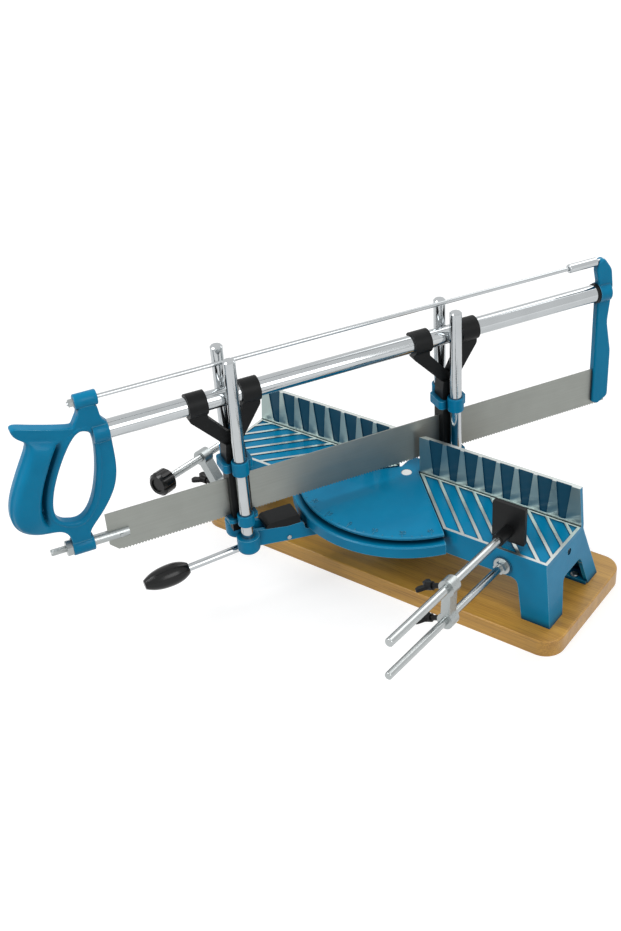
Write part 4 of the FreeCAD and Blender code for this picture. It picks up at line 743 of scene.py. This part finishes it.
@dataclass(frozen=True)
class CrossHead:
    """Round-headed screw with a cross recess, standing up.

    The head is a dome, height = head * sqrt(1 - (r / (swell * R)) ** 2), and the recess takes
    away depth * (1 - r / reach) ** hollow wherever the point lies within half a slot's width
    of either arm of the cross. Its walls slope over the draft's width.

    Args:
        radius: Radius of the head in mm.
        head: Height of the head in mm.
        swell: Radius at which the dome would end, as a share of the head's.
        dome: Share of the radius where the dome ends, and share of the height there.
        shank: Radius and length of the shank in mm.
        slot_mm: Width of the cross.
        draft_mm: Width of the sloping walls of the cross.
        reach: Length of an arm of the cross in mm.
        depth: Depth of the cross in mm.
        hollow: How fast it deepens from the ends of the arms.
        rows: Number of points from the middle of the dome to its edge.
        columns: Number of points round the axis.
    """

    radius: float = 4.0
    head: float = 2.6
    swell: float = 1.12
    dome: Two = (0.97, 0.32)
    shank: Two = (2.0, 15.0)
    slot_mm: float = 1.0
    draft_mm: float = 0.12
    reach: float = 2.6
    depth: float = 1.5
    hollow: float = 0.6
    rows: int = 26
    columns: int = 48

    def build(self, name: str, seat: np.ndarray) -> None:
        """Stand one screw on its seat, in place of the plain one.

        Args:
            name: Node that it takes the place of.
            seat: Middle of the head's underside in mm.
        """
        spokes = np.linspace(0.0, self.radius * self.dome[0], self.rows)[:, None]
        angle = np.linspace(0.0, math.tau, self.columns, endpoint=False)[None]
        dome = self.head * np.sqrt(1.0 - (spokes / (self.swell * self.radius)) ** 2)
        across = spokes * np.minimum(np.abs(np.cos(angle)), np.abs(np.sin(angle)))
        edge = np.clip((self.slot_mm / 2 - across) / self.draft_mm + 0.5, 0.0, 1.0)
        sunk = self.depth * np.clip(1.0 - spokes / self.reach, 0.0, 1.0) ** self.hollow * edge
        shank, length = self.shank
        below = np.array([(self.radius, self.head * self.dome[1]), (self.radius, 0.0), (shank, 0.0),
                          (shank, -length), (0.0, -length)])
        height = np.concatenate([dome - sunk, np.repeat(below[:, 1:], self.columns, axis=1)])
        width = np.concatenate([spokes, below[:, :1]])
        grid = round_axis(seat, np.array((0.0, 0.0, 1.0)), height, width, self.columns)
        piece = put(name + "_cross_head", [grid], "base", ZINC)
        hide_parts(name)


def paint(finishes: dict[str, Finish]) -> None:
    """Give CAD nodes their finishes.

    Args:
        finishes: Node name to its finish.
    """
    for name, finish in finishes.items():
        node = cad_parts[name]
        for slot in node.material_slots:
            slot.material = finish.material()
        log.info("node %s: %s", name, finish.name)


# Sub-assemblies


# Numerals as single strokes in a field 2 wide and this high
NUMERAL_UNITS = 4.0
STROKES = {
    "0": ((0, 0.6), (0, 3.4), (0.6, 4), (1.4, 4), (2, 3.4), (2, 0.6), (1.4, 0), (0.6, 0), (0, 0.6)),
    "1": ((0.3, 3.2), (1.1, 4), (1.1, 0)),
    "3": ((0.1, 3.5), (0.7, 4), (1.5, 4), (2, 3.4), (1.8, 2.4), (0.9, 2.1), (1.8, 1.8), (2, 0.8), (1.4, 0),
          (0.6, 0), (0, 0.5)),
    "4": ((1.5, 0), (1.5, 4), (0, 1.2), (2.1, 1.2)),
    "5": ((1.9, 4), (0.2, 4), (0.1, 2.3), (1.2, 2.5), (1.9, 1.9), (1.9, 0.7), (1.2, 0), (0.4, 0), (0, 0.4)),
}


@dataclass(frozen=True)
class AngleScale:
    """Cast angle marks and plain numerals near the quadrant's edge.

    Args:
        top_mm: Height of the quadrant's top face.
        edge_mm: Radius of its edge.
        proud_mm: How far the marks stand proud.
        sunk_mm: How far they reach into the top face.
        margin_mm: Distance from the edge to the marks.
        mark_mm: Length and width of a mark.
        short: Share of that length between the numbered marks.
        gap_mm: Distance from the marks to the numerals.
        numeral_mm: Height and stroke width of a numeral.
        advance: Distance from one numeral to the next, in the units of STROKES.
        marks: Angles that have a mark.
        numbered: Angles that have a number.
    """

    top_mm: float = 91.0
    edge_mm: float = 111.0
    proud_mm: float = 0.35
    sunk_mm: float = 0.2
    margin_mm: float = 1.6
    mark_mm: Two = (3.2, 0.7)
    short: float = 0.6
    gap_mm: float = 1.2
    numeral_mm: Two = (4.6, 0.6)
    advance: float = 3.0
    marks: range = range(-45, 46, 5)
    numbered: range = range(-45, 46, 15)

    def bar(self, start: np.ndarray, end: np.ndarray, width: float) -> np.ndarray:
        """Compute low bars with sloping sides between pairs of points.

        The top is half as wide as the foot. Each bar is a grid of 4 rows by 4 points.

        Args:
            start: Array (count, 2) of start points in mm.
            end: Array (count, 2) of end points in mm.
            width: Width of the foot in mm.

        Returns:
            Array (count, 4, 4, 3) in mm.
        """
        along = end - start
        along = along / np.linalg.norm(along, axis=1, keepdims=True)
        side = np.stack([-along[:, 1], along[:, 0]], axis=1) * width / 2
        foot = np.stack([start - side, end - side, end + side, start + side], axis=1)
        crest = np.stack([start - side / 2, end - side / 2, end + side / 2, start + side / 2], axis=1)
        middle = np.repeat(foot.mean(axis=1, keepdims=True), 4, axis=1)
        low, high = self.top_mm - self.sunk_mm, self.top_mm + self.proud_mm
        layers = [np.dstack([ring, np.full(ring.shape[:2], z)])
                  for ring, z in ((middle, low), (foot, low), (crest, high), (middle, high))]
        return np.stack(layers, axis=1)

    def build(self) -> None:
        """Cast the marks and the numerals onto the quadrant."""
        angles = np.radians(np.array(self.marks, dtype=float))
        out = np.stack([np.sin(angles), -np.cos(angles)], axis=1)
        edge = self.edge_mm - self.margin_mm
        long, width = self.mark_mm
        lengths = np.array([[long if mark in self.numbered else long * self.short] for mark in self.marks])
        bars = [self.bar(out * (edge - lengths), out * edge, width)]
        height, stroke_width = self.numeral_mm
        foot = -(edge - long - self.gap_mm - height) - height
        for angle in self.numbered:
            turn = math.radians(angle)
            text = str(abs(angle))
            lean = np.array([[math.cos(turn), math.sin(turn)], [-math.sin(turn), math.cos(turn)]])
            for place, numeral in enumerate(text):
                stroke = np.array(STROKES[numeral], dtype=float)
                stroke[:, 0] += self.advance * place - (self.advance * len(text) - 1.0) / 2.0
                stroke = (stroke * (height / NUMERAL_UNITS) + (0.0, foot)) @ lean
                bars.append(self.bar(stroke[:-1], stroke[1:], stroke_width))
        put("quadrant_scale", list(np.concatenate(bars)), "base", ENAMEL)


@dataclass
class Base:
    """Board, tables, quadrant and the screws that hold them.

    Args:
        wood: Finish of the board.
        scale: Angle marks on the quadrant.
        screw: Screw that holds a foot.
        screw_seats_mm: Name, and place across and along the board, of each such screw.
        seat_height_mm: Height of their seats.
    """

    wood: Beech = field(default_factory=Beech)
    scale: AngleScale = field(default_factory=AngleScale)
    screw: CrossHead = field(default_factory=CrossHead)
    screw_seats_mm: tuple[tuple[str, float, float], ...] = (
        ("left_front_foot_screw", -183.0, -53.0), ("left_rear_foot_screw", -183.0, 18.0),
        ("right_front_foot_screw", 183.0, -53.0), ("right_rear_foot_screw", 183.0, 18.0))
    seat_height_mm: float = 22.0

    def build(self) -> None:
        """Dress the board, the castings and their screws."""
        kinds = ("_lug_screw", "_end_screw", "_bar_nut")
        screws = [seat[0] for seat in self.screw_seats_mm]
        screws += [side + kind for side in ("left", "right") for kind in kinds]
        paint({"base_board": self.wood, "right_table": TABLE_CASTING, "left_table": TABLE_CASTING,
               "quadrant": ENAMEL, "pivot_bolt": TURNED_ALUMINIUM, "pivot_insert": ZINC,
               "right_clamp_bar": CLAMP_CHROME, "left_clamp_bar": CLAMP_CHROME})
        paint({name: ZINC for name in screws})
        self.scale.build()
        for where, x, y in self.screw_seats_mm:
            self.screw.build(where, np.array((x, y, self.seat_height_mm)))


@dataclass
class Arm:
    """Swinging arm with its columns, latch and lever."""

    def build(self) -> None:
        """Dress the arm, the columns and the latch."""
        paint({"arm": ENAMEL, "latch_block": NYLON, "latch_pin": ZINC, "index_spring": ZINC,
               "latch_lever": ZINC, "lever_rod": CHROME, "lever_grip": PHENOLIC})
        paint({end + side + "_column": CHROME for end in ("front", "rear") for side in ("_near", "_far")})


@dataclass
class Carriages:
    """The two carriages that ride on the columns."""

    def build(self) -> None:
        """Dress the yokes, the guides and the clips."""
        for end in ("front", "rear"):
            paint({end + "_upper_yoke": ENAMEL, end + "_lower_yoke": ENAMEL,
                   end + "_blade_guide": NYLON, end + "_tube_clip": NYLON})


@dataclass(frozen=True)
class HandleCasting:
    """Cast handle: a loop round an egg-shaped finger hole, with a full grip and three bosses.

    A station gives the loop's outer edge (along the saw, height), the angle on the hole that
    it belongs to, and how far the grip swells there. All but the numbers below is worked out:
    the stations are joined by a cubic B-spline, and straight lines run from the hole to the
    outer edge.

    Args:
        stations: Outer edge along the saw and in height in mm, angle in degrees, swelling.
        hole_mm: Middle of the hole, along the saw and in height.
        hole_axis: Half length and half width of the hole in mm, and how much its foot is wider.
        hole_tilt: How far the hole leans towards the blade, in degrees.
        hole_square: Power of the sine across it; a smaller one makes it squarer.
        half_mm: Half of the loop's thickness.
        edge_mm: Rounding of its edges.
        rim_mm: Width, height and fall of the rim round the hole.
        groove_mm: Place, width and depth of the groove between the rim and the grip.
        grip_mm: Where the grip's swelling starts, its margin at the outer edge, its height.
        fullness: Power in the grip's swelling; a larger one makes it fuller.
        bosses: Start, length and height of the axis and radius of each boss, in mm.
        rounding_mm: Rounding of the bosses' edges, and how far its middle lies from them.
        between: Number of rows from one station to the next.
        across: Number of points from the hole to the outer edge.
        round_boss: Number of points round a boss.
    """

    stations: tuple[Four, ...] = (
        (-320.5, 262, -6, 0), (-320.5, 271, -3, 0), (-302.5, 271, 3, 0), (-302, 258, 12, 0),
        (-300.5, 251, 20, 0), (-295, 246, 32, 0), (-294.5, 238, 42, 0), (-294.8, 226, 55, 0),
        (-294.3, 212, 68, 0), (-294.6, 198, 82, 0), (-297, 184, 97, 0), (-302.5, 171, 112, 0),
        (-312, 157, 128, 0), (-323, 145, 145, 0), (-329.3, 138, 158, 0), (-328.8, 131, 166, 0),
        (-329, 124, 171, 0), (-338, 122, 176, 0), (-346.8, 124, 181, 0), (-347, 132, 186, 0),
        (-348.5, 141, 192, 0), (-355, 147, 200, 0), (-366, 148.3, 208, 0), (-377, 150, 216, 0.3),
        (-387, 155, 224, 0.7), (-394, 162.5, 232, 0.95), (-397, 173, 241, 1), (-396, 185, 252, 1),
        (-392, 198, 264, 1), (-386, 211, 277, 1), (-379.5, 224, 290, 1), (-373, 236, 303, 0.9),
        (-369.6, 244, 314, 0.65), (-370.5, 249, 320, 0.2), (-375.5, 252.5, 325, 0), (-379.5, 257, 329, 0),
        (-381, 262.5, 332, 0), (-380, 264.5, 333.5, 0), (-377, 264.8, 335, 0), (-368, 261.5, 338, 0),
        (-354, 257, 341, 0), (-340, 253, 344, 0), (-331, 251, 347.5, 0), (-327.8, 250.8, 349, 0),
        (-326.4, 252.5, 350.5, 0), (-323.5, 258, 352, 0))
    hole_mm: Two = (-332.0, 199.0)
    hole_axis: Three = (46.5, 17.8, 4.5)
    hole_tilt: float = 17.5
    hole_square: float = 0.7
    half_mm: float = 5.5
    edge_mm: float = 2.5
    rim_mm: Three = (5.5, 0.8, 1.2)
    groove_mm: Three = (10.6, 2.4, 4.2)
    grip_mm: Three = (11.5, 2.0, 7.5)
    fullness: float = 3.6
    bosses: tuple[Four, ...] = (
        (-311.0, 15.0, 237.4, 10.3), (-322.0, 21.0, 272.5, 7.0), (-348.0, 21.0, 124.0, 8.5))
    rounding_mm: Two = (1.0, 0.3)
    between: int = 8
    across: int = 34
    round_boss: int = 48

    def outline(self) -> np.ndarray:
        """Run the cubic B-spline through the stations.

        Returns:
            Array (rows, 4) with the four numbers of a station at each row.
        """
        given = np.array(self.stations, dtype=float)
        onward = np.array((0.0, 0.0, 360.0, 0.0))
        closed = np.vstack([given[-1:] - onward, given, given[:2] + onward])
        share = np.linspace(0.0, 1.0, self.between, endpoint=False)
        weights = np.stack([(1 - share) ** 3, 3 * share ** 3 - 6 * share ** 2 + 4,
                            -3 * share ** 3 + 3 * share ** 2 + 3 * share + 1, share ** 3], axis=1) / 6.0
        spans = np.stack([closed[i:i + len(given)] for i in range(4)], axis=1)
        return np.einsum("wk,skc->swc", weights, spans).reshape(-1, 4)

    def hole(self, angle: np.ndarray) -> np.ndarray:
        """Give points on the egg-shaped hole.

        The point is middle + length * cos a * up + (width - wider * cos a) * sin a ** square *
        right, where up and right lean by the hole's tilt.

        Args:
            angle: Array of angles in radians, from the top and clockwise.

        Returns:
            Array (count, 2) of places along the saw and heights in mm.
        """
        tilt = math.radians(self.hole_tilt)
        length, width, wider = self.hole_axis
        rise = (length * np.cos(angle))[:, None]
        sweep = np.sign(np.sin(angle)) * np.abs(np.sin(angle)) ** self.hole_square
        reach = ((width - wider * np.cos(angle)) * sweep)[:, None]
        upward = np.array((math.sin(tilt), math.cos(tilt)))
        right = np.array((math.cos(tilt), -math.sin(tilt)))
        return np.array(self.hole_mm) + rise * upward + reach * right

    def loop(self) -> np.ndarray:
        """Compute the loop as a closed tube round the hole.

        Half the thickness at a distance d from the hole and e from the outer edge is
        half - edge + sqrt(edge ** 2 - (edge - min(d, e)) ** 2), with the rim, the groove and
        the grip's swelling, height * sqrt(1 - |2 q - 1| ** fullness), added where they lie.

        Returns:
            Array (rows, columns, 3) in mm along the saw, sideways and in height.
        """
        rows = self.outline()
        inner = self.hole(np.radians(rows[:, 2]))
        outer = rows[:, :2]
        swell = np.clip(rows[:, 3:4], 0.0, 1.0)
        share = (0.5 - 0.5 * np.cos(np.linspace(0.0, math.pi, self.across)))[None]
        width = np.linalg.norm(outer - inner, axis=1)[:, None]
        from_hole, from_edge = width * share, width * (1.0 - share)
        reach = np.clip(self.edge_mm - np.minimum(from_hole, from_edge), 0.0, None)
        half = self.half_mm - self.edge_mm + np.sqrt(self.edge_mm ** 2 - reach ** 2)
        rim, proud, fall = self.rim_mm
        rising = np.clip(from_hole / self.edge_mm, 0.0, 1.0)
        half += proud * np.clip((rim - from_hole) / fall, 0.0, 1.0) * rising
        groove, wide, deep = self.groove_mm
        half -= swell * deep * np.exp(-((from_hole - groove) / wide) ** 2)
        start, margin, height = self.grip_mm
        q = np.clip((from_hole - start) / np.clip(width - start - margin, 1.0, None), 0.0, 1.0)
        half += swell * height * np.sqrt(1.0 - np.abs(2.0 * q - 1.0) ** self.fullness)
        flat = inner[:, None] + (outer - inner)[:, None] * share[..., None]
        near = np.stack([flat[..., 0], -half, flat[..., 1]], axis=-1)
        far = np.stack([flat[..., 0], half, flat[..., 1]], axis=-1)[:, ::-1]
        return np.concatenate([near, far], axis=1)

    def boss(self, start: float, length: float, height: float, radius: float) -> np.ndarray:
        """Turn one boss, a plain drum with rounded ends.

        Args:
            start: Start of its axis along the saw in mm.
            length: Its length in mm.
            height: Height of its axis in mm.
            radius: Its radius in mm.

        Returns:
            Array (rows, columns, 3) in mm.
        """
        edge, bend = self.rounding_mm
        profile = np.array([(0.0, 0.0), (0.0, radius - edge), (bend, radius - bend), (edge, radius),
                            (length - edge, radius), (length - bend, radius - bend), (length, radius - edge),
                            (length, 0.0)])
        foot, axis = np.array((start, 0.0, height)), np.array((1.0, 0.0, 0.0))
        return round_axis(foot, axis, profile[:, :1], profile[:, 1:], self.round_boss)

    def build(self) -> None:
        """Cast the loop and its bosses in place of the plain handle."""
        loop = self.loop()
        grids = [np.concatenate([loop, loop[:1]])] + [self.boss(*size) for size in self.bosses]
        piece = put("handle_casting", [saw_to_row(grid) for grid in grids], "saw", ENAMEL)
        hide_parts("handle")


@dataclass
class FrameSaw:
    """Handle, tube, far arm and blade.

    Args:
        handle: Its handle.
        stud_start_mm: Tail end of the blade's stud, along the saw, sideways and in height.
        stud_mm: Length of the tail, radius over its crests, and its thread's pitch and depth.
    """

    handle: HandleCasting = field(default_factory=HandleCasting)
    stud_start_mm: Three = (-367.9, 0.0, 124.0)
    stud_mm: Four = (14.0, 3.3, 1.0, 0.28)

    def build(self) -> None:
        """Dress the saw and thread the stud's tail."""
        self.handle.build()
        paint({"blade": BLADE_STEEL, "handle": ENAMEL, "far_arm": ENAMEL, "frame_tube": CHROME,
               "end_ring": NYLON, "end_pin": ZINC, "tension_rod": CHROME, "tension_nut": ZINC,
               "tension_barrel": CHROME, "blade_stud": ZINC, "clevis_pin": ZINC, "stud_nut": ZINC})
        axis = np.array((math.cos(SAW_ANGLE), math.sin(SAW_ANGLE), 0.0))
        tail = Thread(saw_to_row(np.array(self.stud_start_mm)), axis, *self.stud_mm)
        put("stud_tail_thread", [tail.points()], "saw", ZINC)


@dataclass
class WorkClamps:
    """Couplings, rods, pads, knob and wing screws.

    Args:
        left_bar_mm: Where the left bar leaves the table.
        tilt: How far the bars rise towards the user, in degrees.
        spacing_mm: Distance from a bar to the rod over it.
        lean: How far the left coupling leans, in degrees.
        screw_span_mm: Start and end of the left screw, outwards from the table.
        screw_radius_mm: Radius of the left screw over its crests.
        screw_tip_mm: Length and radius of its plain tip.
    """

    left_bar_mm: Three = (-164.5, -64.0, 74.5)
    tilt: float = 4.5
    spacing_mm: float = 35.0
    lean: float = 36.0
    screw_span_mm: Two = (-11.7, 101.0)
    screw_radius_mm: float = 4.0
    screw_tip_mm: Two = (3.5, 2.5)

    def left_screw(self) -> None:
        """Cut the left clamp's screw along its whole length, in place of the plain rod."""
        rise, lean = math.radians(self.tilt), math.radians(self.lean)
        out = np.array((0.0, -math.cos(rise), math.sin(rise)))
        upward = np.array((0.0, math.sin(rise), math.cos(rise)))
        offset = (upward * math.cos(lean) - np.array((1.0, 0.0, 0.0)) * math.sin(lean)) * self.spacing_mm
        first, last = self.screw_span_mm
        start = np.array(self.left_bar_mm) + offset + out * first
        screw = Thread(start, out, last - first, self.screw_radius_mm, tip=self.screw_tip_mm)
        piece = put("left_screw_thread", [screw.points()], "left_spindle", CLAMP_CHROME)
        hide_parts("left_screw")

    def build(self) -> None:
        """Dress both clamps and cut the left screw."""
        paint({"right_coupling": ZINC, "right_push_rod": CLAMP_CHROME, "right_pad": BLACK_STEEL,
               "right_lower_wing": BLACK_STEEL, "right_upper_wing": BLACK_STEEL,
               "left_coupling": ZINC, "left_foot": BLACK_STEEL, "left_screw": CLAMP_CHROME,
               "left_knob": PHENOLIC, "left_wing": BLACK_STEEL})
        self.left_screw()


# Studio


@dataclass(frozen=True)
class SoftBox:
    """Large square lamp that looks at the saw.

    Args:
        place_m: Where it stands.
        size_m: Length of its side.
        power_w: Its power.
    """

    place_m: Three
    size_m: float
    power_w: float

    def light(self, name: str, target: Vector) -> None:
        """Hang the lamp and turn it to the target.

        Args:
            name: Name of the lamp.
            target: Point that it looks at, in metres.
        """
        lamp = bpy.data.lights.new(name, "AREA")
        lamp.shape = "SQUARE"
        lamp.size = self.size_m
        lamp.energy = self.power_w
        holder = stand(name, lamp)
        holder.location = self.place_m
        holder.rotation_euler = (target - Vector(self.place_m)).to_track_quat("-Z", "Y").to_euler()


@dataclass
class Studio:
    """Pale floor, soft light and the photograph's camera.

    Args:
        azimuth: Camera's turn about Z, in degrees, from looking along +Y.
        elevation: Camera's height over the horizon, in degrees.
        roll: Turn about the line of sight, in degrees.
        target_mm: Point that the camera looks at.
        distance_mm: Camera's distance from that point.
        focal_px: Focal length in pixels of the photograph.
        sensor_mm: Size of the camera's sensor along the picture's longer side.
        far_m: Distance at which the camera's view ends.
        floor_m: Half of the floor's side.
        paper: Grey of the floor's paper, which takes the shadow.
        glow: Glow of the paper under the saw, and away from the lamps.
        glow_m: Distances from the saw at which the glow starts to grow and is full.
        room: Level of the room's light at the horizon and overhead.
        room_span: Height of a direction, of 1 overhead, at which each of these holds.
        lamps: The soft boxes.
    """

    azimuth: float = 38.2124
    elevation: float = 33.9275
    roll: float = -4.2434
    target_mm: Three = (-107.367, -21.224, 74.453)
    distance_mm: float = 1374.73
    focal_px: float = 1295.31
    sensor_mm: float = 36.0
    far_m: float = 60.0
    floor_m: float = 9.0
    paper: float = 0.45
    glow: Two = (0.67, 1.0)
    glow_m: Two = (0.8, 3.0)
    room: Two = (0.2, 0.78)
    room_span: Two = (-0.1, 0.9)
    lamps: tuple[SoftBox, ...] = (
        SoftBox((-1.2, -1.6, 2.2), 1.2, 34.0),
        SoftBox((1.9, -0.9, 1.4), 1.4, 19.0),
        SoftBox((0.2, 1.8, 2.0), 1.6, 14.0))

    def camera(self) -> None:
        """Set the camera where the photograph was taken from."""
        turn, rise, roll = (math.radians(a) for a in (self.azimuth, self.elevation, self.roll))
        back = Vector((math.sin(turn) * math.cos(rise), -math.cos(turn) * math.cos(rise), math.sin(rise)))
        right = Vector((math.cos(turn), math.sin(turn), 0.0))
        above = back.cross(right)
        across = right * math.cos(roll) + above * math.sin(roll)
        upward = above * math.cos(roll) - right * math.sin(roll)
        data = bpy.data.cameras.new("photo_camera")
        data.sensor_width = self.sensor_mm
        data.lens = self.focal_px * self.sensor_mm / max(PHOTO_SIZE)
        data.clip_end = self.far_m
        holder = stand("photo_camera", data)
        place_m = (Vector(self.target_mm) + back * self.distance_mm) * MM
        turned = Matrix((across, upward, back)).transposed().to_4x4()
        holder.matrix_world = Matrix.Translation(place_m) @ turned
        bpy.context.scene.camera = holder

    def eye_ray(self, tree: Tree) -> Any:
        """Find the rays that reach the eye straight, by a mirror or through glass.

        Args:
            tree: Node tree that gets the nodes.

        Returns:
            Node that gives 1 for such a ray.
        """
        path = add(tree, "LightPath").outputs
        seen = path["Is Camera Ray"]
        for kind in ("Is Glossy Ray", "Is Transmission Ray"):
            seen = add(tree, "Math", (seen, path[kind]), operation="MAXIMUM")
        return seen

    def floor(self) -> None:
        """Lay a pale floor that shows white to the eye and still takes the saw's shadow.

        Away from the lamps' reach it glows a little more, so that it stays as white there.
        """
        side = self.floor_m
        mesh = bpy.data.meshes.new("studio_floor")
        mesh.from_pydata([(-side, -side, 0), (side, -side, 0), (side, side, 0), (-side, side, 0)], [],
                         [(0, 1, 2, 3)])
        floor = stand("studio_floor", mesh)
        material = bpy.data.materials.new("studio_paper")
        tree = empty_tree(material)
        matt = add(tree, "BsdfDiffuse", {"Color": (self.paper,) * 3 + (1.0,)})
        spot = add(tree, "TexCoord").outputs["Object"]
        away = add(tree, "VectorMath", (spot,), operation="LENGTH")
        paler = add(tree, "MapRange", (away, *self.glow_m, *self.glow))
        level = add(tree, "Math", (self.eye_ray(tree), paler), operation="MULTIPLY")
        glow = add(tree, "Emission", {"Strength": level})
        add(tree, "OutputMaterial", {"Surface": add(tree, "AddShader", (matt, glow))})
        mesh.materials.append(material)

    def sky(self) -> None:
        """Light the room softly: brighter overhead than at the horizon, and white to the eye."""
        world = bpy.data.worlds.new("studio_room")
        bpy.context.scene.world = world
        tree = empty_tree(world)
        direction = add(tree, "TexCoord").outputs["Generated"]
        height = add(tree, "SeparateXYZ", (direction,)).outputs["Z"]
        level = add(tree, "MapRange", (height, *self.room_span, *self.room))
        room = add(tree, "Background", {"Strength": level})
        white = add(tree, "Background", {"Color": (1.0, 1.0, 1.0, 1.0), "Strength": 1.0})
        add(tree, "OutputWorld", {"Surface": add(tree, "MixShader", (self.eye_ray(tree), room, white))})

    def build(self) -> None:
        """Set the camera, the floor, the room and the lamps."""
        self.camera()
        self.floor()
        self.sky()
        for number, lamp in enumerate(self.lamps):
            lamp.light(f"soft_box_{number}", Vector(self.target_mm) * MM)
        bpy.context.scene.view_settings.view_transform = "Standard"


def main() -> None:
    """Build every sub-assembly and the studio, in order."""
    logging.basicConfig(level=logging.INFO, format="%(message)s")
    for part in (Base(), Arm(), Carriages(), FrameSaw(), WorkClamps()):
        part.build()
        log.info("built %s", type(part).__name__)
    Studio().build()


if __name__ == "__main__":
    main()
